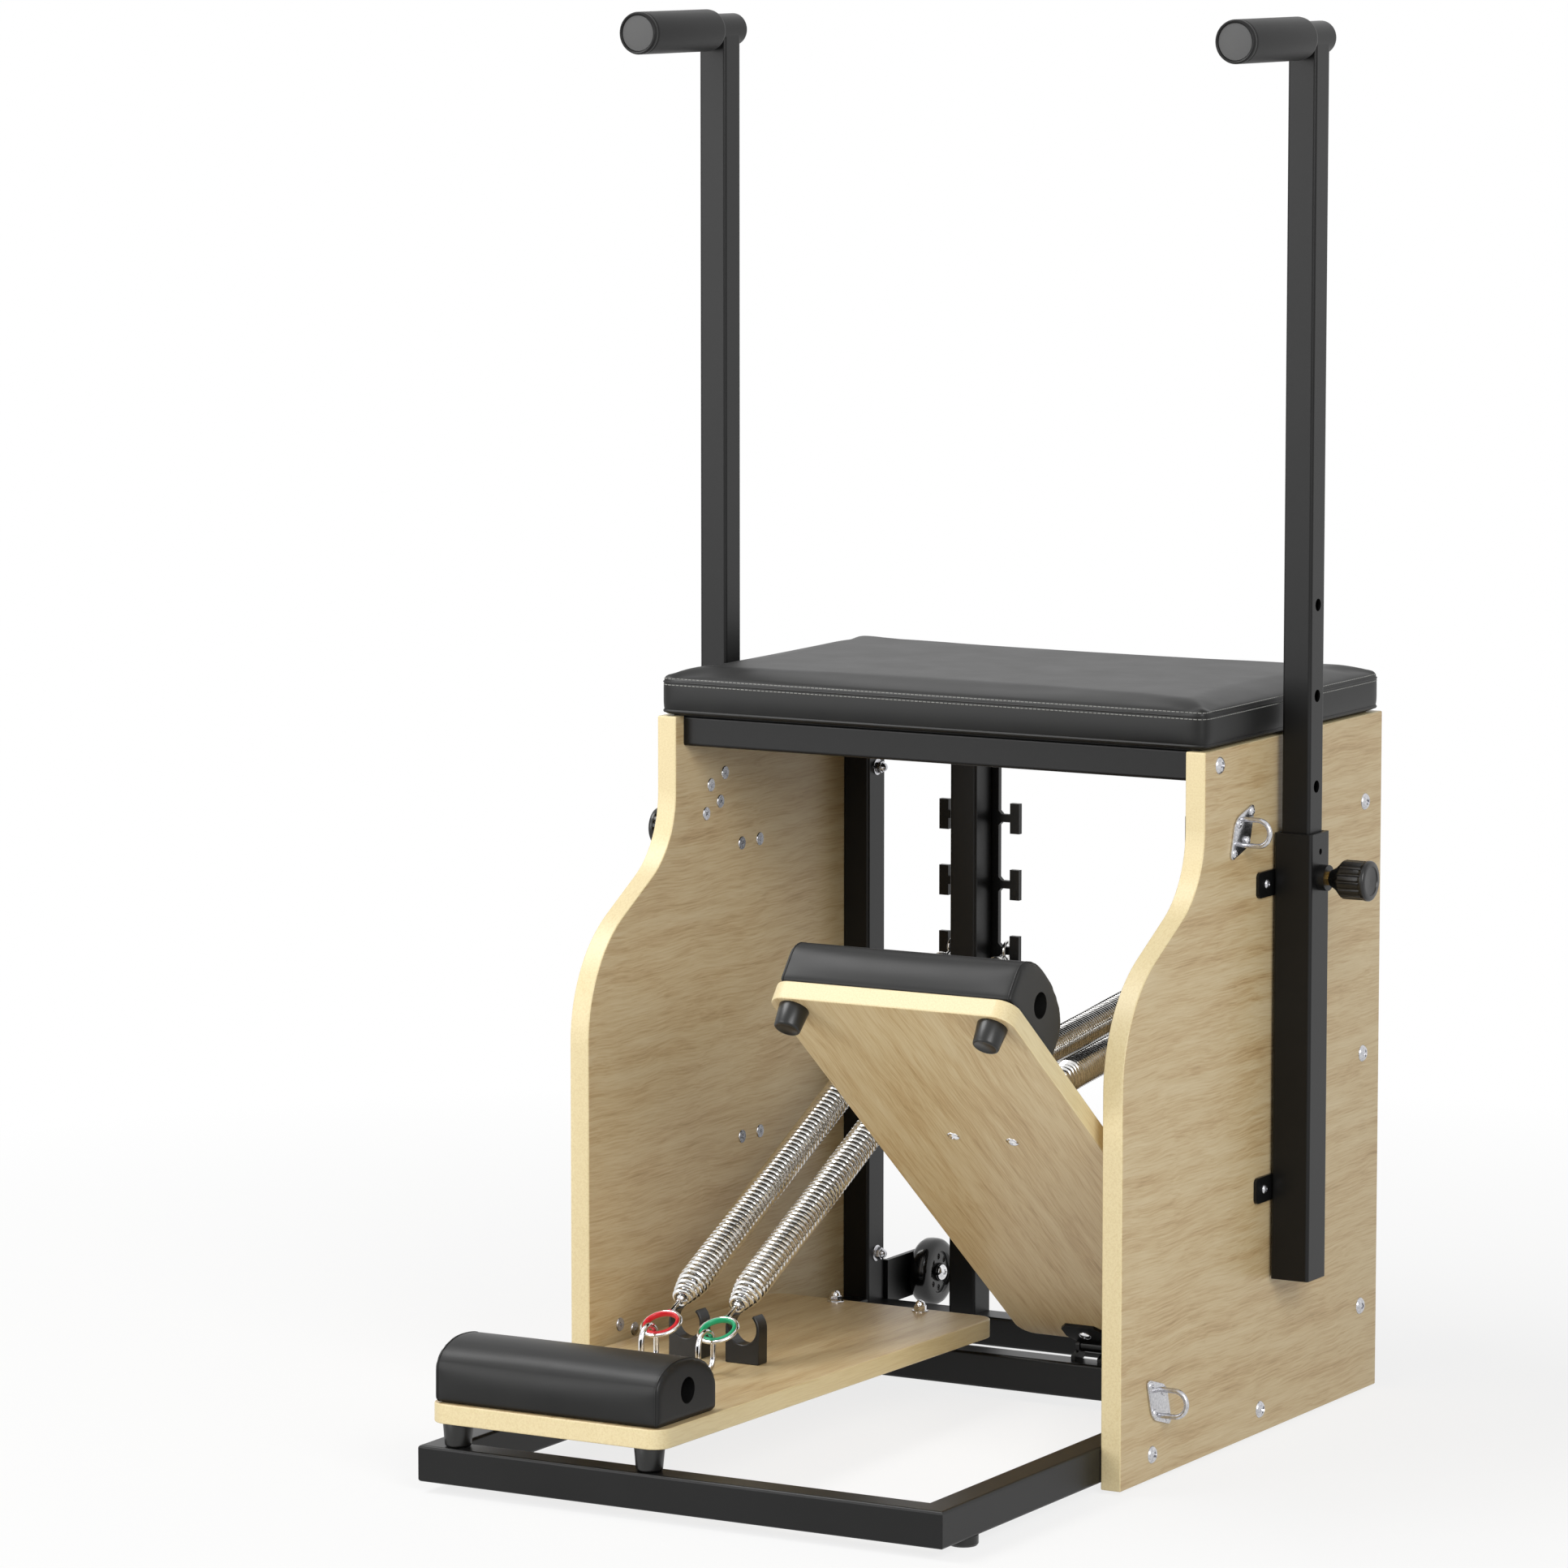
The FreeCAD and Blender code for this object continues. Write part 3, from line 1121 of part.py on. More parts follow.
def biarc(start, end):
    """Two arcs that leave one point along its direction and reach the next along its own."""
    (p, t), (q, u) = start, end
    gap = q - p
    both = t + u
    a, b, c = 4 - both.dot(both), 2 * gap.dot(both), -gap.dot(gap)
    reach = -c / b if abs(a) < 1e-9 else (-b + math.sqrt(b * b - 4 * a * c)) / (2 * a)
    middle = (p + q + (t - u) * reach) * 0.5
    edges = []
    for here, way, there in ((p, t, middle), (q, -u, middle)):
        chord = there - here
        turn = way.getAngle(chord)
        side = (way - chord * (way.dot(chord) / chord.dot(chord))).normalize()
        top = (here + there) * 0.5 + side * (chord.Length / 2 * math.tan(turn / 2))
        edges.append(Part.Arc(here, top, there).toShape())
    return edges


def coil(length):
    """One unbroken coil of wire along +Z, and its least gap to the next turn."""
    stops = spring_path(length)
    edges = []
    for index in range(len(stops) - 1):
        edges += biarc(stops[index], stops[index + 1])
    path = Part.Wire(Part.__sortEdges__(edges))
    spot, way = stops[0]
    ring = Part.Wire(Part.makeCircle(size("coil_wire"), spot, way))
    tube = path.makePipeShell([ring], True, False)
    points = [edge.valueAt((edge.FirstParameter + edge.LastParameter) / 2) for edge in edges]
    apart = min(points[i].distanceToPoint(points[j]) for i in range(len(points))
                for j in range(i + QUARTERS, min(i + 5 * QUARTERS, len(points))))
    return tube, apart - 2 * size("coil_wire")


def top_loop():
    """The loop over a hook stem at the line's far end, and its shank into the coil."""
    radius, wire = size("loop_radius"), size("coil_wire")
    ring = Part.makeTorus(radius, wire, Vector(), Vector(1, 0, 0))
    shank = Part.makeCylinder(wire, size("loop_shank"), Vector(0, 0, -radius), Vector(0, 0, -1))
    return ring.fuse(shank)


def swivel():
    """The ring that hangs in the pedal's eye, and the headed rod that runs through the plug."""
    radius, wire = size("ring_radius"), size("ring_wire")
    ring = Part.makeTorus(radius, wire, Vector(0, 0, size("ring_gap")), Vector(0, 1, 0))
    foot = size("ring_gap + ring_radius")
    rod = Part.makeCylinder(size("rod_radius"), size("rod_reach") - foot, Vector(0, 0, foot))
    end = Vector(0, 0, size("rod_reach"))
    head = Part.makeCylinder(size("rod_head_radius"), size("rod_head_long"), end)
    return ring.fuse([rod, head])


def liner():
    """A coloured band inside the ring."""
    outer = size("ring_radius - ring_wire")
    middle = Vector(0, -size("liner_wide") / 2, size("ring_gap"))
    band = Part.makeCylinder(outer, size("liner_wide"), middle, Vector(0, 1, 0))
    return drilled(band, middle, Vector(0, 1, 0), outer - size("liner_thick"), size("liner_wide"))


def plug():
    """The conical bush that holds the foot of the coil."""
    base = Vector(0, 0, size("plug_gap"))
    cone = Part.makeCone(size("plug_tip_radius"), size("plug_radius"), size("plug_long"), base)
    return drilled(cone, base, Vector(0, 0, 1), size("plug_bore_radius"), size("plug_long"))


for side, sign in SIDES:
    place = pedal_place(side, sign)
    foot = place.multVec(Vector(0, -size("eye_along"), size("eye_height")))
    hook = Vector(foot.x, size("stem_y"), size("hook_low"))
    line = hook - foot
    turn = Rotation(Vector(1, 0, 0), Vector(), line, "ZXY")
    coil_shape, least_gap = coil(line.Length)
    print(f"{side} spring: {line.Length:.1f} mm long, least gap between turns {least_gap:.2f} mm")
    for name, shape, root in (("springs", coil_shape, foot), ("spring_hooks", top_loop(), hook),
                              ("spring_swivels", swivel(), foot), ("ring_liners", liner(), foot),
                              ("spring_plugs", plug(), foot)):
        pieces = []
        for way in (-1, 1):
            piece = shape.copy()
            piece.Placement = Placement(root + Vector(way * size("spring_out"), 0, 0), turn)
            pieces.append(piece)
        keep_shape(f"{side}_{name}", Part.makeCompound(pieces))

doc.recompute()
for item in doc.Objects:
    if "Invalid" in item.State or "Error" in item.State:
        raise RuntimeError(f"{item.Name} did not recompute: {item.State}")
for item in nodes:
    if item.Shape.isNull() or not item.Shape.isValid():
        raise RuntimeError(f"{item.Label} has no valid shape")
os.makedirs("parts", exist_ok=True)
for item in nodes:
    item.Shape.exportStep(f"parts/{item.Label}.step")
print(len(nodes), "sub-parts written")
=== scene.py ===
# %% [markdown]
# # A pilates chair, dressed for the camera
# The construction of this chair is already settled: every tube, panel, hinge and spring has its
# size and its place in the fixed frame. This lesson gives it its looks. We load the frame, set up
# a photographer's table, write the finishes, and then model by hand what a plain solid can't show:
# stuffed leather, wound springs, crossed screw heads, moulded knobs and rolling wheels.

# %% Load the fixed frame
import json
import math

import bmesh
import bpy
from mathutils import Matrix, Vector


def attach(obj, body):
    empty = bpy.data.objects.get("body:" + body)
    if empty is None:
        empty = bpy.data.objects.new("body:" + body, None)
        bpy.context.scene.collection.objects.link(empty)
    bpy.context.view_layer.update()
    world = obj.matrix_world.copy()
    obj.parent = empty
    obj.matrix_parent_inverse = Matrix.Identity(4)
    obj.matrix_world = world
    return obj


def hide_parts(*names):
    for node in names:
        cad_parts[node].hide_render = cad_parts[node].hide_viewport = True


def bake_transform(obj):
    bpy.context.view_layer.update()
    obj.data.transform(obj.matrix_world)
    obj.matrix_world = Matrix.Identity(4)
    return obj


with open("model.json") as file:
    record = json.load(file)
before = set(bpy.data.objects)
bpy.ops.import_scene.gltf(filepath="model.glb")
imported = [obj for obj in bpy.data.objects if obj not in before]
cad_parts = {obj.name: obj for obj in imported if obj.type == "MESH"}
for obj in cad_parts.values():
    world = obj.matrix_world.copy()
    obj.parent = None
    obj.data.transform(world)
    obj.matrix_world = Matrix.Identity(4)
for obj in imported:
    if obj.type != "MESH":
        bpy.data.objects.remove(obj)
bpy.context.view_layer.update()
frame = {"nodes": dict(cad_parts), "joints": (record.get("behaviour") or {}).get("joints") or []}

scene = bpy.context.scene

# %% [markdown]
# Blender measures in metres, and a maker of furniture thinks in millimetres. One small value
# turns one into the other, so that every size below reads as it would on a workshop drawing.
# The joints of the frame say where the pedals hinge and where the springs hang.

# %% Units and places
MM = 0.001
SIDES = (("left", -1), ("right", 1))
PEDAL_ANGLES = {"left": 0.78, "right": 38.7}
joints = {joint["name"]: joint for joint in frame["joints"]}
pedal_frames, spring_frames, spring_lengths = {}, {}, {}
for side, sign in SIDES:
    hinge = Vector(joints[f"{side}_pedal_hinge"]["pos_m"])
    foot = Vector(joints[f"{side}_swivel_hinge"]["pos_m"])
    hook = Vector(joints[f"{side}_spring_top_hinge"]["pos_m"])
    line = hook - foot
    tilt = Matrix.Rotation(-math.radians(PEDAL_ANGLES[side]), 4, "X")
    lean = Matrix.Rotation(math.atan2(-line.y, line.z), 4, "X")
    pedal_frames[side] = Matrix.Translation(hinge) @ tilt
    spring_frames[side] = Matrix.Translation(foot) @ lean
    spring_lengths[side] = line.length
    print(side, "spring line", round(line.length / MM, 1), "mm")

# %% [markdown]
# The camera stands where the photographer stood: in front and to the right of the chair, a little
# above the seat, and far away with a long lens, so that upright tubes stay nearly parallel.

# %% Camera
CAMERA_PLACE = (3.30595, -6.04979, 1.52104)
CAMERA_TURN = 29.786
CAMERA_DROP = 7.345
CAMERA_LENS = 165.887
SENSOR_WIDE = 36
FAR_LIMIT = 100
camera_data = bpy.data.cameras.new("photographer")
camera_data.lens = CAMERA_LENS
camera_data.sensor_width = SENSOR_WIDE
camera_data.clip_end = FAR_LIMIT
camera = bpy.data.objects.new("photographer", camera_data)
camera.location = CAMERA_PLACE
camera.rotation_euler = (math.radians(90 - CAMERA_DROP), 0, math.radians(CAMERA_TURN))
scene.collection.objects.link(camera)
scene.camera = camera
print("camera at", CAMERA_PLACE)

# %% [markdown]
# Finishes are written as small networks of nodes. Two helpers keep them short. The first turns
# the hex code that a designer would write into the linear light that the renderer adds up. The
# second adds one node, sets it, and wires or fills its sockets.

# %% Colour and node helpers
def linear(code):
    """An sRGB hex code such as D5C198 as linear red, green, blue and alpha."""
    parts = [int(code[place:place + 2], 16) / 255 for place in (0, 2, 4)]
    return [c / 12.92 if c < 0.04045 else ((c + 0.055) / 1.055) ** 2.4 for c in parts] + [1]


def add(tree, kind, sockets=(), **settings):
    """Add a node. A socket is given a value, or the output that feeds it."""
    made = tree.nodes.new("ShaderNode" + kind)
    for name, value in settings.items():
        setattr(made, name, value)
    for name, value in dict(sockets).items():
        if isinstance(value, bpy.types.NodeSocket):
            tree.links.new(value, made.inputs[name])
        else:
            made.inputs[name].default_value = value
    return made


def begin(name, **surface):
    """A new material with its shader's own sockets filled, and where a pattern can start."""
    material = bpy.data.materials.new(name)
    material.use_nodes = True
    tree = material.node_tree
    shader = tree.nodes["Principled BSDF"]
    for socket, value in surface.items():
        shader.inputs[socket.replace("_", " ")].default_value = value
    place = add(tree, "TexCoord")
    return material, tree, shader, place


def ramp(tree, feed, stops):
    """A colour ramp through hex codes, each at its share of the way."""
    made = add(tree, "ValToRGB", {"Fac": feed})
    stripe = made.color_ramp.elements
    while len(stripe) < len(stops):
        stripe.new(0.5)
    for element, (share, code) in zip(stripe, stops):
        element.position = share
        element.color = linear(code)
    return made.outputs["Color"]


def roughen(tree, shader, feed, low, high):
    """Let a pattern move the roughness between two values."""
    spread = add(tree, "MapRange", {"Value": feed, "To Min": low, "To Max": high})
    tree.links.new(spread.outputs["Result"], shader.inputs["Roughness"])


def raise_relief(tree, shader, feed, depth, strength=1.0):
    """Let a pattern stand out of the surface by a depth in millimetres."""
    relief = add(tree, "Bump", {"Height": feed, "Distance": depth * MM, "Strength": strength})
    tree.links.new(relief.outputs["Normal"], shader.inputs["Normal"])


# %% [markdown]
# The table: a wide floor of matt paper in a bright room. The white behind the chair is only what
# the camera, the mirrors and clear things see, so it adds no light to the wood, and the floor near
# the chair still takes a faint shadow. One small network answers who is looking.

# %% Floor and room
ROOM_LIGHT = 0.17
FLOOR_GLOW = 0.80
SHADOW_REACH = (0.7, 2.0)
FLOOR_SIZE = 90


def looked_at(tree):
    """One for rays from the camera, off metal and through glass, and nought for scattered light."""
    path = add(tree, "LightPath")
    either = add(tree, "Math", {0: path.outputs["Is Camera Ray"], 1: path.outputs["Is Glossy Ray"]},
                 operation="MAXIMUM")
    return add(tree, "Math", {0: either.outputs[0], 1: path.outputs["Is Transmission Ray"]},
               operation="MAXIMUM").outputs[0]


bm = bmesh.new()
bmesh.ops.create_grid(bm, x_segments=1, y_segments=1, size=FLOOR_SIZE)
floor_data = bpy.data.meshes.new("studio_floor")
bm.to_mesh(floor_data)
bm.free()
floor = bpy.data.objects.new("studio_floor", floor_data)
scene.collection.objects.link(floor)

# Matt white paper, which glows a little where a ray looks straight at it.
paper, tree, shader, place = begin("matt_paper_floor", Roughness=0.9, Base_Color=linear("F4F4F2"))
away = add(tree, "VectorMath", {0: place.outputs["Object"]}, operation="LENGTH")
fade = add(tree, "MapRange", {"Value": away.outputs["Value"], "From Min": SHADOW_REACH[0],
                              "From Max": SHADOW_REACH[1], "To Min": FLOOR_GLOW, "To Max": 1.0})
share = add(tree, "Math", {0: looked_at(tree), 1: fade.outputs["Result"]}, operation="MULTIPLY")
white = add(tree, "Emission", {"Color": (1, 1, 1, 1), "Strength": 1})
blend = add(tree, "MixShader", {0: share.outputs[0], 1: shader.outputs[0], 2: white.outputs[0]})
tree.links.new(blend.outputs[0], tree.nodes["Material Output"].inputs["Surface"])
floor_data.materials.append(paper)

room = bpy.data.worlds.new("bright_room")
room.use_nodes = True
scene.world = room
tree = room.node_tree
tree.nodes.clear()
dim = add(tree, "Background", {"Color": (1, 1, 1, 1), "Strength": ROOM_LIGHT})
bright = add(tree, "Background", {"Color": (1, 1, 1, 1), "Strength": 1})
blend = add(tree, "MixShader", {0: looked_at(tree), 1: dim.outputs[0], 2: bright.outputs[0]})
sky = add(tree, "OutputWorld", {"Surface": blend.outputs[0]})
print("floor and room ready")

# %% [markdown]
# Three large soft lamps light the chair: one to the right in front, one to the left near the floor,
# and a smaller one high up on the left, whose gleam runs along the shoulders of the pads. Large
# lamps give soft edges to the shadows, as the photographer's white umbrellas do.

# %% Lamps
LAMP_AIM = Vector((0, 0, 0.6))
LAMPS = (
    ("front_right_lamp", (3.6, -3.0, 2.6), (2.4, 2.6), 136),
    ("front_left_lamp", (-2.6, -4.4, 1.5), (2.2, 2.6), 78),
    ("upper_left_lamp", (-1.7, -0.9, 3.0), (1.8, 1.2), 58),
)
for name, spot, extent, power in LAMPS:
    lamp_data = bpy.data.lights.new(name, "AREA")
    lamp_data.shape = "RECTANGLE"
    lamp_data.size, lamp_data.size_y = extent
    lamp_data.energy = power
    lamp = bpy.data.objects.new(name, lamp_data)
    lamp.location = spot
    lamp.rotation_euler = (LAMP_AIM - Vector(spot)).to_track_quat("-Z", "Y").to_euler()
    scene.collection.objects.link(lamp)
scene.view_settings.view_transform = "Standard"
print("lamps:", len(LAMPS))

# %% [markdown]
# The side panels and pedals are plywood with a pale maple veneer under satin lacquer. The grain
# runs from front to back as long, slightly wavy fibres, so noise is stretched along one axis at
# two scales: broad flames a few centimetres long and fine fibres about a millimetre wide. The
# edges carry a creamier solid band, and the direction of the surface tells edge from face.

# %% Veneered plywood
FLAME_WIDE, FLAME_LONG = 13, 150
FIBRE_WIDE, FIBRE_LONG = 1.6, 46
WAVE_LONG, WAVE_SHIFT = 110, 0.012
FACE_SHARE = 0.8


def veneer(name, tilt, face):
    """Veneer whose grain lies along a board tilted about X, with its edge band."""
    material, tree, shader, place = begin(name, IOR=1.5, Coat_Weight=0.12, Coat_Roughness=0.28)
    flat = add(tree, "Mapping", {"Vector": place.outputs["Object"],
                                 "Rotation": (math.radians(tilt), 0, 0)})
    sway = add(tree, "TexNoise", {"Vector": flat.outputs[0], "Scale": 1 / (WAVE_LONG * MM),
                                  "Detail": 2})
    shift = add(tree, "VectorMath", {0: sway.outputs["Color"], 1: (WAVE_SHIFT, 0.0, WAVE_SHIFT)},
                operation="MULTIPLY")
    waved = add(tree, "VectorMath", {0: flat.outputs[0], 1: shift.outputs[0]}, operation="ADD")
    patterns = []
    for wide, long, detail in ((FLAME_WIDE, FLAME_LONG, 4), (FIBRE_WIDE, FIBRE_LONG, 3)):
        across, along = 1 / (wide * MM), 1 / (long * MM)
        stretched = add(tree, "Mapping", {"Vector": waved.outputs[0],
                                          "Scale": (across, along, across)})
        patterns.append(add(tree, "TexNoise", {"Vector": stretched.outputs[0], "Scale": 1,
                                               "Detail": detail, "Roughness": 0.55}))
    flame, fibre = patterns
    both = add(tree, "Mix", {"Factor": 0.5, "A": flame.outputs["Fac"], "B": fibre.outputs["Fac"]})
    figure = ramp(tree, both.outputs["Result"], ((0.30, "AE8F62"), (0.42, "C6AA7C"),
                                                 (0.52, "D2BB8F"), (0.68, "DCC9A2")))
    band = ramp(tree, fibre.outputs["Fac"], ((0.3, "DFCB9A"), (0.6, "E9D8AB")))
    facing = add(tree, "VectorMath", {0: place.outputs["Normal"], 1: face}, operation="DOT_PRODUCT")
    size_of = add(tree, "Math", {0: facing.outputs["Value"]}, operation="ABSOLUTE")
    is_face = add(tree, "Math", {0: size_of.outputs[0], 1: FACE_SHARE}, operation="GREATER_THAN")
    colour = add(tree, "Mix", {"Factor": is_face.outputs[0], "A": band, "B": figure}, data_type="RGBA")
    tree.links.new(colour.outputs["Result"], shader.inputs["Base Color"])
    roughen(tree, shader, fibre.outputs["Fac"], 0.36, 0.52)
    raise_relief(tree, shader, fibre.outputs["Fac"], 0.12, 0.5)
    return material


# Maple veneer on the two upright panels.
panel_veneer = veneer("maple_veneer_panels", 0, (1, 0, 0))
# The same veneer on each pedal, turned to lie along its board.
pedal_veneers = {}
for side, sign in SIDES:
    angle = PEDAL_ANGLES[side]
    face = (0, math.sin(math.radians(angle)), math.cos(math.radians(angle)))
    pedal_veneers[side] = veneer(f"maple_veneer_{side}_pedal", angle, face)
print("veneers:", 1 + len(pedal_veneers))

# %% [markdown]
# Steel that is coated with baked powder is never mirror smooth. It has a very fine orange-peel
# skin, drawn here a little coarser than the real 0.4 mm so that it shows, and a soft sheen.
# Rubber, moulded plastic, foam and the gloss of the wheels are the same idea with other grit.

# %% Powder coat, rubber, plastics and foam
def skin(name, code, worn_code, grit, relief, low, high, **surface):
    """A dull or glossy skin with grit of a given size in millimetres and a slow change of tone."""
    material, tree, shader, place = begin(name, **surface)
    fine = add(tree, "TexNoise", {"Vector": place.outputs["Object"], "Scale": 1 / (grit * MM),
                                  "Detail": 3})
    slow = add(tree, "TexNoise", {"Vector": place.outputs["Object"], "Scale": 9, "Detail": 3})
    tone = ramp(tree, slow.outputs["Fac"], ((0.3, code), (0.7, worn_code)))
    tree.links.new(tone, shader.inputs["Base Color"])
    roughen(tree, shader, slow.outputs["Fac"], low, high)
    raise_relief(tree, shader, fine.outputs["Fac"], relief)
    return material


# Polyester powder, sprayed and baked: near black with a satin gleam.
powder_coat = skin("black_powder_coated_steel", "0A0A0A", "101010", 0.9, 0.03, 0.32, 0.40,
                   IOR=1.45, Specular_IOR_Level=0.32)
# Moulded rubber: duller and a little browner, as dust settles in its pores.
rubber = skin("black_moulded_rubber", "0A0A09", "11110F", 1.2, 0.03, 0.30, 0.42, IOR=1.5)
# Moulded nylon: a fine spark-eroded texture from the mould.
nylon = skin("black_moulded_nylon", "080808", "0E0E0E", 0.8, 0.03, 0.26, 0.36, IOR=1.5)
# Closed-cell foam: soft grey-black with open pores about a millimetre wide.
foam = skin("black_cell_foam", "0D0D0D", "141414", 1.0, 0.10, 0.46, 0.56, IOR=1.42,
            Specular_IOR_Level=0.35, Sheen_Weight=0.05, Sheen_Roughness=0.5)
# The grip's cap is the same foam, cut and fused smooth, and so looks greyer.
fused_foam = skin("grey_fused_foam", "4A4A4A", "565656", 1.4, 0.05, 0.55, 0.65, IOR=1.45)
# Polyurethane tyre: glossy black.
tyre_gloss = skin("black_gloss_polyurethane", "0B0B0B", "111111", 3.0, 0.02, 0.10, 0.18, IOR=1.5)
# Woven dust cloth, stapled under the seat and over its board.
dust_cloth = skin("black_dust_cloth", "0A0A0A", "121212", 1.0, 0.10, 0.7, 0.85, IOR=1.45)
# Dyed nylon liners, one red and one green.
red_nylon = skin("red_dyed_nylon", "C9101F", "DA1C2A", 1.5, 0.02, 0.25, 0.35, IOR=1.53)
green_nylon = skin("green_dyed_nylon", "0F9A68", "1CAE78", 1.5, 0.02, 0.25, 0.35, IOR=1.53)
print("skins written")

# %% [markdown]
# Bright metal takes its look from what it mirrors. Chromed screws and rings have a faint haze
# from handling, spring wire carries fine drawing marks, and brass is a warmer mirror. A metal
# keeps its default index of refraction, because its colour already says how it reflects.

# %% Chrome, spring wire and brass
def bright_metal(name, code, dull_code, mark, low, high):
    """A polished metal with a haze whose marks are so many millimetres across."""
    material, tree, shader, place = begin(name, Metallic=1.0)
    haze = add(tree, "TexNoise", {"Vector": place.outputs["Object"], "Scale": 1 / (mark * MM),
                                  "Detail": 4})
    tone = ramp(tree, haze.outputs["Fac"], ((0.35, dull_code), (0.65, code)))
    tree.links.new(tone, shader.inputs["Base Color"])
    roughen(tree, shader, haze.outputs["Fac"], low, high)
    raise_relief(tree, shader, haze.outputs["Fac"], 0.004)
    return material


# Polished chrome plate on rings, rods and the pedals' bolts.
chrome = bright_metal("bright_chrome_plate", "EDEDEE", "D6D6D9", 2.5, 0.05, 0.14)
# Duller chrome on pressed plates and driven screws.
satin_chrome = bright_metal("satin_chrome_plate", "CFCFD2", "B4B4B8", 2.5, 0.16, 0.28)
# Drawn wire with a bright plate.
spring_wire = bright_metal("plated_spring_wire", "EDECEA", "D8D7D4", 6.0, 0.10, 0.18)
# Turned brass of the bushes and collars.
brass = bright_metal("turned_brass", "D9B36A", "B58D48", 2.0, 0.14, 0.28)
print("metals written")

# %% [markdown]
# The cushions are covered in black artificial leather. Its grain is a network of tiny cells,
# which a Voronoi pattern gives, about a millimetre across here so that it can be seen, with a
# slower unevenness underneath where the foam presses. The thread of the seams is a dull grey.

# %% Artificial leather and thread
GRAIN, TWIST = 1.3, 0.5
# Black artificial leather with a fine cell grain.
leather, tree, shader, place = begin("black_artificial_leather", IOR=1.5, Specular_IOR_Level=0.3)
cells = add(tree, "TexVoronoi", {"Vector": place.outputs["Object"], "Scale": 1 / (GRAIN * MM)},
            feature="DISTANCE_TO_EDGE")
creases = add(tree, "TexNoise", {"Vector": place.outputs["Object"], "Scale": 24, "Detail": 5})
tone = ramp(tree, creases.outputs["Fac"], ((0.3, "0F0F0F"), (0.7, "171716")))
tree.links.new(tone, shader.inputs["Base Color"])
roughen(tree, shader, creases.outputs["Fac"], 0.38, 0.48)
relief = add(tree, "Mix", {"Factor": 0.7, "A": cells.outputs["Distance"], "B": creases.outputs["Fac"]})
raise_relief(tree, shader, relief.outputs["Result"], 0.08, 0.35)

# Grey polyester thread, twisted, so lighter and darker by turns.
thread, tree, shader, place = begin("grey_polyester_thread", Roughness=0.6, Sheen_Weight=0.3)
twist = add(tree, "TexNoise", {"Vector": place.outputs["Object"], "Scale": 1 / (TWIST * MM),
                               "Detail": 1})
tone = ramp(tree, twist.outputs["Fac"], ((0.35, "6F6F6B"), (0.65, "A9A9A4")))
tree.links.new(tone, shader.inputs["Base Color"])
print("leather and thread written")

# %% [markdown]
# Tubes, boards and bent plates already have their right shape in the frame. They keep it, and
# only take their finish here. Most are powder-coated steel.

# %% Finish the frame's own pieces
def paint(finish, *nodes):
    """Give plain solids of the frame their finish."""
    for name in nodes:
        materials = frame["nodes"][name].data.materials
        materials.clear()
        materials.append(finish)


for side, sign in SIDES:
    paint(powder_coat, *(f"{side}_{part}" for part in ("rear_post", "hook_post", "sleeve", "handle_post",
                                                       "hinge_leaves")))
    paint(panel_veneer, f"{side}_side_panel")
    paint(pedal_veneers[side], f"{side}_pedal_board")
    paint(chrome, f"{side}_lock_pin")
paint(powder_coat, "base_front_bar", "base_left_bar", "base_right_bar", "hinge_cross_bar",
      "base_rear_bar", "rear_seat_rail", "front_seat_rail", "sleeve_brackets", "wheel_brackets",
      "hinge_brackets")
paint(dust_cloth, "seat_board")
paint(rubber, "base_feet")
paint(brass, "lock_bushes")
print("frame pieces finished")

# %% [markdown]
# New pieces are built with the mesh editor's own operators, run from a script. Most of them are
# either turned on a lathe, bent from round bar, or cut from plate. One helper turns a profile, two
# carry a ring of wire along, straight or round a bend, and one makes a closed hoop.

# %% Turning and bending
def at(x, y, z):
    """A move by so many millimetres."""
    return Matrix.Translation(Vector((x, y, z)) * MM)


def spun(bm, geom, centre, axis, angle, steps, merge=False, climb=0.0):
    """Carry some geometry round an axis through a centre in millimetres, and close it if asked."""
    return bmesh.ops.spin(bm, geom=geom, cent=Vector(centre) * MM, axis=axis,
                          dvec=(0, 0, climb * MM), angle=angle, steps=steps, use_merge=merge,
                          use_duplicate=False)


def with_edges(verts):
    """Some points together with the edges on them."""
    return list(verts) + list({edge for vert in verts for edge in vert.link_edges})


def turned(bm, profile, steps=48):
    """Turn a line of (radius, height) points in millimetres about +Z, as on a lathe."""
    last, edges = None, []
    for radius, height in profile:
        here = bm.verts.new((radius * MM, 0, height * MM))
        if last is not None:
            edges.append(bm.edges.new((last, here)))
        last = here
    verts = list({vert for edge in edges for vert in edge.verts})
    spun(bm, verts + edges, (0, 0, 0), (0, 0, 1), 2 * math.pi, steps, merge=True)
    bmesh.ops.remove_doubles(bm, verts=bm.verts, dist=0.01 * MM)


def wire_ring(bm, radius, centre, way, sides=10):
    """The cross-section of a round bar, standing square to the way it will go."""
    turn = Vector(way).to_track_quat("Z", "Y").to_matrix().to_4x4()
    made = bmesh.ops.create_circle(bm, cap_ends=False, radius=radius * MM, segments=sides,
                                   matrix=at(*centre) @ turn)
    return with_edges(made["verts"])


def go_straight(bm, ring, way):
    """Carry a ring of wire along a straight run, and hand back the ring at its far end."""
    edges = [item for item in ring if isinstance(item, bmesh.types.BMEdge)]
    made = bmesh.ops.extrude_edge_only(bm, edges=edges)["geom"]
    verts = [item for item in made if isinstance(item, bmesh.types.BMVert)]
    bmesh.ops.translate(bm, verts=verts, vec=Vector(way) * MM)
    kept = set(verts)
    ends = [item for item in made if isinstance(item, bmesh.types.BMEdge)
            and item.verts[0] in kept and item.verts[1] in kept]
    return verts + ends


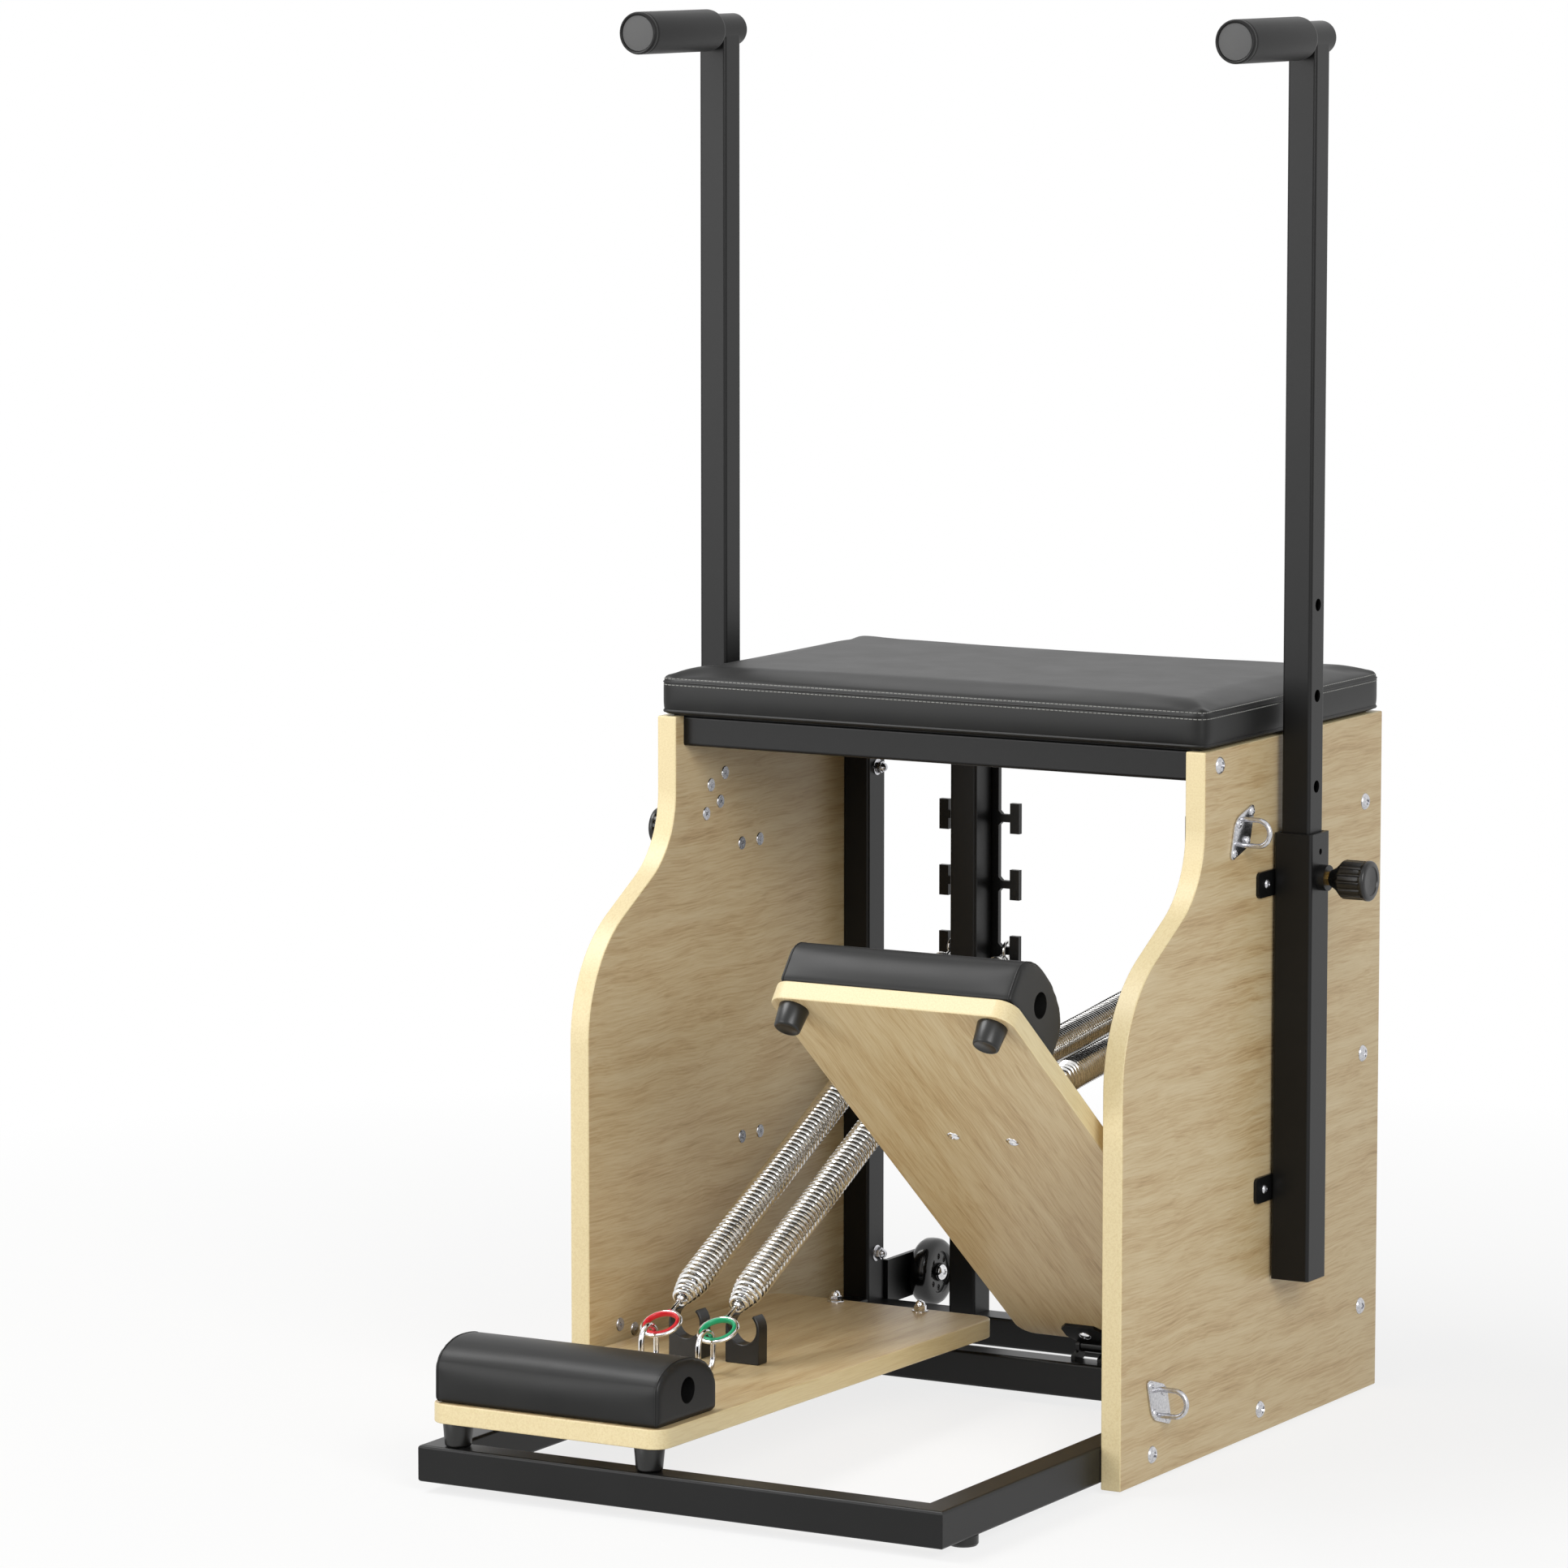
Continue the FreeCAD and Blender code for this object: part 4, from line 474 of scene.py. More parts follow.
def go_round(bm, ring, centre, axis, degrees, steps):
    """Carry a ring of wire round a bend, and hand back the ring at its far end."""
    return spun(bm, ring, centre, axis, math.radians(degrees), steps)["geom_last"]


def hoop(bm, wire, start, turn, centre, axis, steps):
    """A closed ring of round bar: its section at a start is carried right round a centre."""
    made = bmesh.ops.create_circle(bm, cap_ends=False, radius=wire * MM, segments=12,
                                   matrix=at(*start) @ Matrix.Rotation(turn, 4, "X"))
    spun(bm, with_edges(made["verts"]), centre, axis, 2 * math.pi, steps, merge=True)


# %% [markdown]
# A few more helpers cut blocks, round their edges, close open ends and take a finished mesh into
# the scene. Steel that is cut or pressed never has a knife edge, so nearly every edge is rounded.

# %% Blocks, edges and objects
def block(bm, low, high):
    """A box between two opposite corners in millimetres."""
    low, high = Vector(low) * MM, Vector(high) * MM
    spread = Matrix.Diagonal((*(high - low), 1))
    bmesh.ops.create_cube(bm, size=1, matrix=Matrix.Translation((low + high) / 2) @ spread)


def soften(bm, width, segments=2, edges=None):
    """Round the given edges, or every edge that two faces meet on at more than 30 degrees."""
    sharp = edges or [edge for edge in bm.edges
                      if len(edge.link_faces) == 2 and edge.calc_face_angle() > math.radians(30)]
    bmesh.ops.bevel(bm, geom=sharp, offset=width * MM, offset_type="OFFSET", affect="EDGES",
                    segments=segments, profile=0.5, material=-1, clamp_overlap=True)


def close_ends(bm):
    """Fill the open ends of bent bar."""
    rims = [edge for edge in bm.edges if edge.is_boundary]
    bmesh.ops.holes_fill(bm, edges=rims, sides=0)


def plain_object(name, bm, material=None, tidy=True):
    """Put a finished mesh into the scene at the origin, smooth but for its sharp edges."""
    if tidy:
        bmesh.ops.recalc_face_normals(bm, faces=bm.faces)
    data = bpy.data.meshes.new(name)
    bm.to_mesh(data)
    bm.free()
    data.shade_smooth()
    data.set_sharp_from_angle(angle=math.radians(40))
    made = bpy.data.objects.new(name, data)
    if material is not None:
        data.materials.append(material)
    scene.collection.objects.link(made)
    return made


def settled(bm):
    """Turn a mesh under work into a plain mesh."""
    data = bpy.data.meshes.new("part")
    bm.to_mesh(data)
    bm.free()
    return data


def absorb(bm, other):
    """Move all of another mesh under work into this one."""
    data = settled(other)
    bm.from_mesh(data)
    bpy.data.meshes.remove(data)


def copies(data, places):
    """One mesh under work that holds a copy of a plain mesh at each place."""
    bm = bmesh.new()
    for place in places:
        moved = data.copy()
        moved.transform(place)
        bm.from_mesh(moved)
        bpy.data.meshes.remove(moved)
    return bm


def fit(made, body, slot, *nodes):
    """Let a piece ride on its body and hide the plain solids that it stands for. The slot is not used."""
    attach(made, body)
    if nodes:
        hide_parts(*nodes)
    print(made.name, len(made.data.polygons), "faces")
    return made


def apply_modifiers(made):
    """Replace an object's mesh with what its modifiers make of it."""
    shape = made.evaluated_get(bpy.context.evaluated_depsgraph_get())
    data = bpy.data.meshes.new_from_object(shape)
    old = made.data
    made.modifiers.clear()
    made.data = data
    bpy.data.meshes.remove(old)


def cut_away(made, cutters):
    """Cut other objects' shapes out of one, and delete the cutters."""
    for cutter in cutters:
        tool = made.modifiers.new("cut", "BOOLEAN")
        tool.operation = "DIFFERENCE"
        tool.solver = "EXACT"
        tool.object = cutter
    bpy.context.view_layer.update()
    apply_modifiers(made)
    for cutter in cutters:
        bpy.data.objects.remove(cutter)


# %% [markdown]
# ## Crossed screw heads
# Every bolt and screw on this chair has a domed chrome head with a cross in it. We turn one head,
# cut the cross with two thin tapered blades, and then use copies of it wherever a head shows.
# A head made once keeps all of them alike, as bought screws are.

# %% Screw-head templates
DOME = ((0.0, 1.0), (0.35, 0.96), (0.62, 0.80), (0.82, 0.55), (0.95, 0.24), (1.0, 0.05))
SUNK = 0.2
CROSS_TAPER = (0.45, 0.7, 1)
FLAT_CROSS = (5.2, 1.2, 0.8)
HEAD_STEPS = 28
TEMPLATES = []


def template(name, bm):
    """Keep a mesh as an object that is copied where it is needed and removed at the end."""
    made = plain_object(name, bm)
    TEMPLATES.append(made)
    return made


def cut_cross(head, tall, long, wide, deep, taper=(1, 1, 1)):
    """Cut a cross into a head's crown with two blades, whose lower edges may taper."""
    cutters = []
    for angle in (0, 90):
        blade = bmesh.new()
        block(blade, (-long / 2, -wide / 2, tall - deep), (long / 2, wide / 2, tall + 1))
        low = [vert for vert in blade.verts if vert.co.z < (tall - deep / 2) * MM]
        bmesh.ops.scale(blade, verts=low, vec=taper)
        bmesh.ops.rotate(blade, verts=blade.verts, cent=(0, 0, 0),
                         matrix=Matrix.Rotation(math.radians(angle), 3, "Z"))
        cutters.append(plain_object("blade", blade))
    cut_away(head, cutters)


def cross_head(name, radius, tall, long, wide, deep):
    """A domed head standing on XY with a cross in its crown, sizes in millimetres."""
    bm = bmesh.new()
    profile = [(radius * share, tall * height) for share, height in DOME]
    turned(bm, profile + [(radius, -SUNK), (0, -SUNK)], HEAD_STEPS)
    head = template(name, bm)
    cut_cross(head, tall, long, wide, deep, CROSS_TAPER)
    head.data.set_sharp_from_angle(angle=math.radians(35))
    return head


def flat_cross_head(name, radius, tall):
    """A disc that stands a little on its face, with its cross, sizes in millimetres."""
    bm = bmesh.new()
    turned(bm, [(0, tall), (radius - 0.5, tall), (radius, tall * 0.4), (radius, -SUNK), (0, -SUNK)],
           HEAD_STEPS)
    head = template(name, bm)
    cut_cross(head, tall, *FLAT_CROSS)
    return head


bolt_template = cross_head("bolt_head", 8.5, 4.0, 8.8, 2.3, 3.0)
screw_template = cross_head("screw_head", 4.6, 2.2, 5.4, 1.5, 1.8)
small_bolt_template = cross_head("small_bolt_head", 6.4, 2.2, 5.8, 1.4, 1.5)
flush_template = flat_cross_head("flush_head", 4.5, 0.15)
panel_nut_template = flat_cross_head("panel_nut", 6.8, 1.0)
print("heads:", len(TEMPLATES))

# %% [markdown]
# Two more bought parts: a plain shank, one millimetre long and one in radius, that is stretched
# for each screw, and an acorn nut. The nut is a hexagon with chamfered corners on a washer, with a
# dome on top that hides the end of the thread.

# %% Shank and acorn nut
NUT_RADIUS, NUT_TALL, NUT_BORE, NUT_CHAMFER = 6.4, 5.5, 3.2, 0.7
WASHER, WASHER_RADIUS = 1.2, 8.4
bm = bmesh.new()
bmesh.ops.create_cone(bm, cap_ends=True, radius1=MM, radius2=MM, depth=MM, segments=16,
                      matrix=Matrix.Translation((0, 0, -MM / 2)))
shank_template = template("shank", bm)

top = WASHER + NUT_TALL
bm = bmesh.new()
turned(bm, [(NUT_BORE, 0), (WASHER_RADIUS, 0), (WASHER_RADIUS, WASHER * 0.8),
            (WASHER_RADIUS - 0.4, WASHER), (NUT_BORE, WASHER), (NUT_BORE, 0)], 32)
bmesh.ops.create_cone(bm, cap_ends=True, radius1=NUT_RADIUS * MM, radius2=NUT_RADIUS * MM,
                      depth=NUT_TALL * MM, segments=6, matrix=at(0, 0, WASHER + NUT_TALL / 2))
rims = [edge for edge in bm.edges if len(edge.link_faces) == 2 and edge.calc_face_angle() > 0.6
        and all(abs(vert.co.z - top * MM) < 1e-6 for vert in edge.verts)]
soften(bm, NUT_CHAMFER, 2, rims)
dome = bmesh.new()
turned(dome, [(4.9, top - 0.5), (4.9, top + 0.6), (4.5, top + 2.2), (3.6, top + 3.6),
              (2.2, top + 4.6), (0, top + 5.0)], HEAD_STEPS)
absorb(bm, dome)
acorn_template = template("acorn_nut", bm)
print("templates:", [item.name for item in TEMPLATES])

# %% [markdown]
# The heads now go where the bolts are. Twelve frame bolts pass through the panels into the tubes
# and end in acorn nuts inside. Each turned head gets its own twist, as on a real chair, where no
# two crosses line up. The twists come from a fixed rule, so the picture is the same every time.

# %% Frame bolts
FRONT = -475
HALF_WIDTH, PANEL_THICK, TUBE_WIDE = 300, 21, 30
FRAME_BOLTS = ((505, 666), (827.5, 595), (827.5, 344), (827.5, 90), (603, 27.5), (373, 27.5))
BOLT_SHANK = 3
TWIST_STEP = 37


def stand(place, way, twist=0):
    """A place in millimetres for a template whose +Z should point along a way."""
    turn = Vector(way).to_track_quat("Z", "Y").to_matrix().to_4x4()
    return at(*place) @ turn @ Matrix.Rotation(math.radians(twist), 4, "Z")


def rod(place, way, radius, long):
    """A place for the shank template: it starts there and runs back against the way."""
    return stand(place, way) @ Matrix.Diagonal((radius, radius, long, 1))


def joined(*groups):
    """One mesh that holds copies of several templates, each at its own places."""
    bm = bmesh.new()
    for item, places in groups:
        absorb(bm, copies(item.data, places))
    return bm


heads, shanks, nuts = [], [], []
for sign in (-1, 1):
    for index, (along, height) in enumerate(FRAME_BOLTS):
        spot = (sign * HALF_WIDTH, FRONT + along, height)
        heads.append(stand(spot, (sign, 0, 0), TWIST_STEP * index + 11))
        shanks.append(rod(spot, (sign, 0, 0), BOLT_SHANK, PANEL_THICK + TUBE_WIDE))
        inner = (sign * (HALF_WIDTH - PANEL_THICK - TUBE_WIDE), FRONT + along, height)
        nuts.append(stand(inner, (-sign, 0, 0), TWIST_STEP * index))
bm = joined((bolt_template, heads), (shank_template, shanks), (acorn_template, nuts))
fit(plain_object("frame_bolts", bm, satin_chrome, tidy=False), "base", "bright_chrome", "panel_bolts")

# %% [markdown]
# The smaller screws hold the sleeve brackets and the band eyes. Two kinds of head are used, a
# domed one on the front tabs and the eyes, and a flush one behind the sleeve where nothing may
# stand proud. Each is held by a flat round nut against the inner face of its panel.

# %% Bracket and eye screws
SLEEVE_SET, SLEEVE_WIDE, EAR_LONG, EAR_THICK, EYE_PLATE = 637.5, 40, 32, 3, 2.5
EAR_SCREW_FRONT, EAR_SCREW_BACK = 18, 22
EAR_HEIGHTS = (244, 541)
BAND_EYES = ((552, 597, 1), (384, 76, -1))
EYE_LONG, EYE_SHORT = 52, 26
SCREW_RADIUS = 1.8
DIAGONAL = math.sqrt(0.5)
domes, flats, shanks, nuts = [], [], [], []


def driven(spot, sign, lift, twist):
    """Add the shank and the inner nut of one screw that starts at a spot, lifted off the panel."""
    shanks.append(rod(spot, (sign, 0, 0), SCREW_RADIUS, PANEL_THICK + lift))
    inner = (sign * (HALF_WIDTH - PANEL_THICK), spot[1], spot[2])
    nuts.append(stand(inner, (-sign, 0, 0), twist))


for sign in (-1, 1):
    way = (sign, 0, 0)
    for index, height in enumerate(EAR_HEIGHTS):
        front = FRONT + SLEEVE_SET - SLEEVE_WIDE / 2 - EAR_LONG
        tab = (sign * (HALF_WIDTH + EAR_THICK), front + EAR_SCREW_FRONT, height)
        domes.append(stand(tab, way, TWIST_STEP * index + 20))
        driven(tab, sign, EAR_THICK, TWIST_STEP * index)
        behind = (sign * (HALF_WIDTH + EAR_THICK), front + EAR_LONG + EAR_SCREW_BACK, height)
        flats.append(stand(behind, way))
        driven(behind, sign, EAR_THICK, TWIST_STEP * index + 50)
    for along, height, lean in BAND_EYES:
        corners = ((lean, 1, EYE_LONG), (-lean, -1, EYE_LONG), (-lean, 1, EYE_SHORT), (lean, -1, EYE_SHORT))
        for index, (across, rise, span) in enumerate(corners):
            spot = (sign * (HALF_WIDTH + EYE_PLATE), FRONT + along + DIAGONAL * across * span / 2,
                    height + DIAGONAL * rise * span / 2)
            domes.append(stand(spot, way, TWIST_STEP * index + 5))
            driven(spot, sign, EYE_PLATE, TWIST_STEP * index + 9)
bm = joined((screw_template, domes), (flush_template, flats), (panel_nut_template, nuts),
            (shank_template, shanks))
fit(plain_object("bracket_screws", bm, satin_chrome, tidy=False), "base", "bright_chrome", "panel_screws")

# %% [markdown]
# ## Band eyes
# Exercise bands clip into four chrome eyes on the outside of the panels. Each is a leaning
# rhombic plate with a bar bent to a U and welded on. The plate starts as a circle of four points,
# because that is a rhombus already, and rounding its corners gives the pressed outline.

# %% Band eyes
EYE_WIRE, EYE_LOOP, EYE_REACH = 2.5, 12.5, 33
EYE_LONG_SPARE, EYE_SHORT_SPARE, EYE_CORNER, EYE_ROUND = 11.4, 7.5, 9, 0.6
EYE_STRAIGHT = EYE_REACH - EYE_WIRE - EYE_LOOP - 1


def band_eye(lean):
    """One plate on XY with its bar, which stands up from it."""
    plate = bmesh.new()
    bmesh.ops.create_circle(plate, cap_ends=True, radius=MM, segments=4)
    spread = (EYE_LONG / 2 + EYE_LONG_SPARE, EYE_SHORT / 2 + EYE_SHORT_SPARE, 1)
    bmesh.ops.scale(plate, verts=plate.verts, vec=spread)
    bmesh.ops.bevel(plate, geom=plate.verts[:], offset=EYE_CORNER * MM, offset_type="OFFSET",
                    affect="VERTICES", segments=5, profile=0.5, material=-1, clamp_overlap=True)
    made = bmesh.ops.extrude_face_region(plate, geom=plate.faces[:])["geom"]
    raised = [item for item in made if isinstance(item, bmesh.types.BMVert)]
    bmesh.ops.translate(plate, verts=raised, vec=(0, 0, EYE_PLATE * MM))
    rim = [edge for edge in plate.edges
           if len(edge.link_faces) == 2 and edge.calc_face_angle() > math.radians(60)]
    soften(plate, EYE_ROUND, 2, rim)
    bmesh.ops.rotate(plate, verts=plate.verts, cent=(0, 0, 0),
                     matrix=Matrix.Rotation(math.radians(-45 * lean), 3, "Z"))
    ring = wire_ring(plate, EYE_WIRE, (-EYE_LOOP, 0, 1), (0, 0, 1), 12)
    ring = go_straight(plate, ring, (0, 0, EYE_STRAIGHT))
    ring = go_round(plate, ring, (0, 0, 1 + EYE_STRAIGHT), (0, 1, 0), 180, 18)
    go_straight(plate, ring, (0, 0, -EYE_STRAIGHT))
    close_ends(plate)
    bmesh.ops.recalc_face_normals(plate, faces=plate.faces)
    return plate


bm = bmesh.new()
for sign in (-1, 1):
    outward = Matrix(((0, 0, sign, 0), (0, 1, 0, 0), (-1, 0, 0, 0), (0, 0, 0, 1)))
    for along, height, lean in BAND_EYES:
        eye = band_eye(lean)
        eye.transform(at(sign * HALF_WIDTH, FRONT + along, height) @ outward)
        absorb(bm, eye)
fit(plain_object("rhombic_band_eyes", bm, satin_chrome), "base", "bright_chrome", "band_eyes")

# %% [markdown]
# ## The seat cushion
# A real cushion is foam inside a sewn cover, and its shape comes from foam pushing leather out
# between seams that don't give. So we sew a box, pin its seams, and blow it up with cloth
# simulation. The seams stay crisp while each panel swells between them.

# %% Inflating a sewn cover
COVER_STIFFNESS, COVER_BENDING = 12, 1.5
LAST_FRAME = 20


def inflate(made, voxel, is_seam, pressure, most):
    """Swell a closed mesh between its pinned seams, by no more than a distance in millimetres."""
    remesh = made.modifiers.new("even", "REMESH")
    remesh.mode = "VOXEL"
    remesh.voxel_size = voxel * MM
    apply_modifiers(made)
    seams = made.vertex_groups.new(name="seams")
    seams.add([vert.index for vert in made.data.vertices if is_seam(vert.co)], 1.0, "REPLACE")
    start = [vert.co.copy() for vert in made.data.vertices]
    cloth = made.modifiers.new("cover", "CLOTH")
    cloth.settings.quality = 6
    cloth.settings.use_pressure = True
    cloth.settings.uniform_pressure_force = pressure
    cloth.settings.vertex_group_mass = "seams"
    cloth.settings.tension_stiffness = COVER_STIFFNESS
    cloth.settings.compression_stiffness = COVER_STIFFNESS
    cloth.settings.bending_stiffness = COVER_BENDING
    cloth.settings.effector_weights.gravity = 0
    cloth.point_cache.frame_start = 1
    cloth.point_cache.frame_end = LAST_FRAME
    for number in range(1, LAST_FRAME + 1):
        scene.frame_set(number)
    swollen = made.evaluated_get(bpy.context.evaluated_depsgraph_get())
    ends = [vert.co.copy() for vert in swollen.data.vertices]
    made.modifiers.clear()
    for vert, before, after in zip(made.data.vertices, start, ends):
        move = after - before
        if move.length > most * MM:
            move *= most * MM / move.length
        vert.co = before + move
    scene.frame_set(1)
    made.vertex_groups.clear()


def subdivide(made, levels):
    """Smooth an object's mesh by subdivision, and keep the result."""
    smooth = made.modifiers.new("smooth", "SUBSURF")
    smooth.levels = smooth.render_levels = levels
    apply_modifiers(made)
    made.data.shade_smooth()


# %% [markdown]
# The seat's cover is a box 41 mm deep with small corner rounds. Its seams run round the top edge
# and round the bottom, and up each corner. After it is blown up, the seam itself is added as a
# fine welt that follows the swollen shape, found by slicing the cushion with a plane.

# %% Seat cushion
SEAT_X, SEAT_FRONT, SEAT_BACK = 299, 1, 390
SEAT_FLOOR, SEAT_TOP = 682, 722.5
SEAT_CORNER, SEAT_RIM_ROUND = 10, 5
NEAR_SIDE, TOP_SEAM, FOOT_SEAM, STAPLED = 3, (12, 5), (5, 9), 2
SEAT_VOXEL, PAD_VOXEL, STUFFING, SEAT_SWELL, PAD_SWELL = 6, 4, 3.0, 6, 3
bm = bmesh.new()
block(bm, (-SEAT_X, SEAT_FRONT, SEAT_FLOOR), (SEAT_X, SEAT_BACK, SEAT_TOP))
uprights = [edge for edge in bm.edges if abs(edge.verts[0].co.z - edge.verts[1].co.z) > 10 * MM]
soften(bm, SEAT_CORNER, 4, uprights)
rims = [edge for edge in bm.edges if len(edge.link_faces) == 2
        and abs(edge.verts[0].co.z - edge.verts[1].co.z) < MM
        and edge.calc_face_angle() > math.radians(60)]
soften(bm, SEAT_RIM_ROUND, 3, rims)
seat = plain_object("seat_cushion_cover", bm, leather)


def seat_seam(co):
    """True near the top and bottom seams, and on the underside, which is stapled to the board."""
    x, y, z = co / MM
    edge = min(SEAT_X - abs(x), y - SEAT_FRONT, SEAT_BACK - y)
    near_top = SEAT_TOP - TOP_SEAM[0] < z < SEAT_TOP - TOP_SEAM[1]
    near_floor = SEAT_FLOOR + FOOT_SEAM[0] < z < SEAT_FLOOR + FOOT_SEAM[1]
    return (edge < NEAR_SIDE and (near_top or near_floor)) or z < SEAT_FLOOR + STAPLED


inflate(seat, SEAT_VOXEL, seat_seam, STUFFING, SEAT_SWELL)
subdivide(seat, 1)
fit(seat, "base", "black_upholstery", "seat_cushion")

# %% [markdown]
# Where two sheets of leather are sewn together, a ridge stands up and a row of stitches runs on
# each side of it. Slicing the swollen cushion level with the seam gives the line that the thread
# follows. The ridge is that line made a thin round cord of leather.

# %% Seams and stitches
def slice_line(made, spot, way):
    """The closed line on which a plane cuts an object, as ordered points."""
    bm = bmesh.new()
    bm.from_mesh(made.data)
    cut = bmesh.ops.bisect_plane(bm, geom=bm.verts[:] + bm.edges[:] + bm.faces[:], dist=1e-6,
                                 plane_co=Vector(spot) * MM, plane_no=way)["geom_cut"]
    edges = {item for item in cut if isinstance(item, bmesh.types.BMEdge)}
    best = []
    while edges:
        edge = edges.pop()
        chain = [edge.verts[0], edge.verts[1]]
        while True:
            following = next((other for other in chain[-1].link_edges if other in edges), None)
            if following is None:
                break
            edges.discard(following)
            chain.append(following.other_vert(chain[-1]))
        if len(chain) > len(best):
            best = chain
    points = [vert.co.copy() for vert in best]
    bm.free()
    return points


def welt(points, radius):
    """A thin round cord of leather along a closed line of points."""
    curve = bpy.data.curves.new("welt", "CURVE")
    curve.dimensions = "3D"
    curve.bevel_depth = radius * MM
    curve.bevel_resolution = 1
    spline = curve.splines.new("POLY")
    spline.points.add(len(points) - 1)
    for point, co in zip(spline.points, points):
        point.co = (*co, 1)
    spline.use_cyclic_u = True
    line = bpy.data.objects.new("welt", curve)
    scene.collection.objects.link(line)
    bpy.context.view_layer.update()
    data = bpy.data.meshes.new_from_object(line.evaluated_get(bpy.context.evaluated_depsgraph_get()))
    bpy.data.objects.remove(line)
    bm = bmesh.new()
    bm.from_mesh(data)
    return bm


def evenly(points, pitch):
    """Places at an even pitch in millimetres along a line, each with the way that it runs."""
    places = []
    left = 0.0
    for here, there in zip(points, points[1:]):
        span = (there - here).length
        way = (there - here).normalized()
        while left <= span:
            places.append((here + way * left, way))
            left += pitch * MM
        left -= span
    return places


STITCH_LONG, STITCH_THICK, STITCH_PITCH = 3.4, 0.42, 4.6
SEAM_DROP, STITCH_BELOW, STITCH_ABOVE = 8, -2.6, 3.4
LIP_RISE, SEAT_WELT, SEAT_LIP, PAD_WELT = 4, 0.9, 1.7, 0.8
bm = bmesh.new()
bmesh.ops.create_cone(bm, cap_ends=True, radius1=STITCH_THICK * MM, radius2=STITCH_THICK * MM,
                      depth=STITCH_LONG * MM, segments=5)
stitch_template = template("stitch", bm)


def level_line(height):
    """The line round the seat cushion at a height."""
    return slice_line(seat, (0, 0, height), (0, 0, 1))


def stitch_row(points):
    """A place for each stitch along a line."""
    return [Matrix.Translation(spot) @ way.to_track_quat("Z", "Y").to_matrix().to_4x4()
            for spot, way in evenly(points, STITCH_PITCH)]


seam_level = SEAT_TOP - SEAM_DROP
fit(plain_object("seat_seam_welt", welt(level_line(seam_level), SEAT_WELT), leather), "base",
    "black_upholstery")
places = [spot for gap in (STITCH_BELOW, STITCH_ABOVE) for spot in stitch_row(level_line(seam_level + gap))]
fit(plain_object("seat_stitches", copies(stitch_template.data, places), thread, tidy=False), "base",
    "black_upholstery")
fit(plain_object("seat_foot_lip", welt(level_line(SEAT_FLOOR + LIP_RISE), SEAT_LIP), leather), "base",
    "black_upholstery")

# %% [markdown]
# ## Pedal pads
# The pads are D-shaped cushions with a round tunnel through them for a push bar. They are sewn
# from one long sheet and two end pieces, so their seams follow the outline just inside each end.
# They are inflated lying flat in the pedal's own frame, and only then put on the pedals.

# %% Pedal pads
PAD_LONG, PAD_DEEP, PAD_TALL = 245, 110, 60
PAD_FRONT = -659
PEDAL_TOP = 20.5
PAD_BORE, PAD_BORE_HEIGHT = 12.5, 28
PAD_CREST, PAD_STRETCH = 46, 1.76
PAD_INSET, PAD_LIFT, PAD_NAPE_SPARE, PAD_END_ROUND = 1, 0.3, 2.2, 2.5
PAD_SEAM, PAD_SEAM_AT, PAD_FLAT = 7, 4.5, 3


def pad_blank():
    """The pad before it is stuffed: a block whose long top edges become two quarter ellipses.

    The block is made too tall, bevelled by round amounts, and then pressed down.
    """
    bm = bmesh.new()
    half = PAD_LONG / 2 - PAD_INSET
    rise = (PAD_TALL - 2 * PAD_INSET) * PAD_STRETCH
    nape = PAD_DEEP - PAD_INSET
    block(bm, (-half, PAD_INSET, 0), (half, nape, rise))
    for amount, middle in ((PAD_CREST, PAD_INSET), (PAD_DEEP - PAD_CREST - PAD_NAPE_SPARE, nape)):
        edge = [edge for edge in bm.edges
                if all(abs(vert.co.z - rise * MM) < 1e-6 and abs(vert.co.y - middle * MM) < 1e-6
                       for vert in edge.verts)]
        soften(bm, amount, 12, edge)
    bmesh.ops.scale(bm, verts=bm.verts, vec=(1, 1, 1 / PAD_STRETCH))
    bmesh.ops.translate(bm, verts=bm.verts, vec=Vector((0, PAD_FRONT, PEDAL_TOP + PAD_LIFT)) * MM)
    ends = [edge for edge in bm.edges if len(edge.link_faces) == 2
            and abs(edge.verts[0].co.x - edge.verts[1].co.x) < MM
            and edge.calc_face_angle() > math.radians(60)]
    soften(bm, PAD_END_ROUND, 2, ends)
    return bm


def pad_seam(co):
    """True on the seams just inside the pad's ends and on its flat foot."""
    x, y, z = co / MM
    return PAD_LONG / 2 - PAD_SEAM < abs(x) or z < PEDAL_TOP + PAD_FLAT


for side, sign in SIDES:
    pad = plain_object(f"{side}_pedal_cushion", pad_blank(), leather)
    inflate(pad, PAD_VOXEL, pad_seam, STUFFING, PAD_SWELL)
    subdivide(pad, 1)
    bm = bmesh.new()
    middle = at(0, PAD_FRONT + PAD_DEEP / 2, PEDAL_TOP + PAD_BORE_HEIGHT)
    bmesh.ops.create_cone(bm, cap_ends=True, radius1=PAD_BORE * MM, radius2=PAD_BORE * MM, depth=0.3,
                          segments=40, matrix=middle @ Matrix.Rotation(math.pi / 2, 4, "Y"))
    cut_away(pad, [plain_object("bore", bm)])
    pad.data.shade_smooth()
    pad.data.set_sharp_from_angle(angle=math.radians(50))
    seams = bmesh.new()
    for end in (-1, 1):
        points = slice_line(pad, (end * (PAD_LONG / 2 - PAD_SEAM_AT), 0, 0), (1, 0, 0))
        absorb(seams, welt(points, PAD_WELT))
    seams.transform(pedal_frames[side])
    pad.data.transform(pedal_frames[side])
    fit(pad, f"{side}_pedal", "black_upholstery", f"{side}_pedal_pad")
    fit(plain_object(f"{side}_pedal_welts", seams, leather), f"{side}_pedal", "black_upholstery")

# %% [markdown]
# ## Pedal hardware
# Under each pedal's front sit two tapered rubber buffers with a faintly dished tip, which take the
# knock when the pedal reaches the base. They are turned once and copied four times.

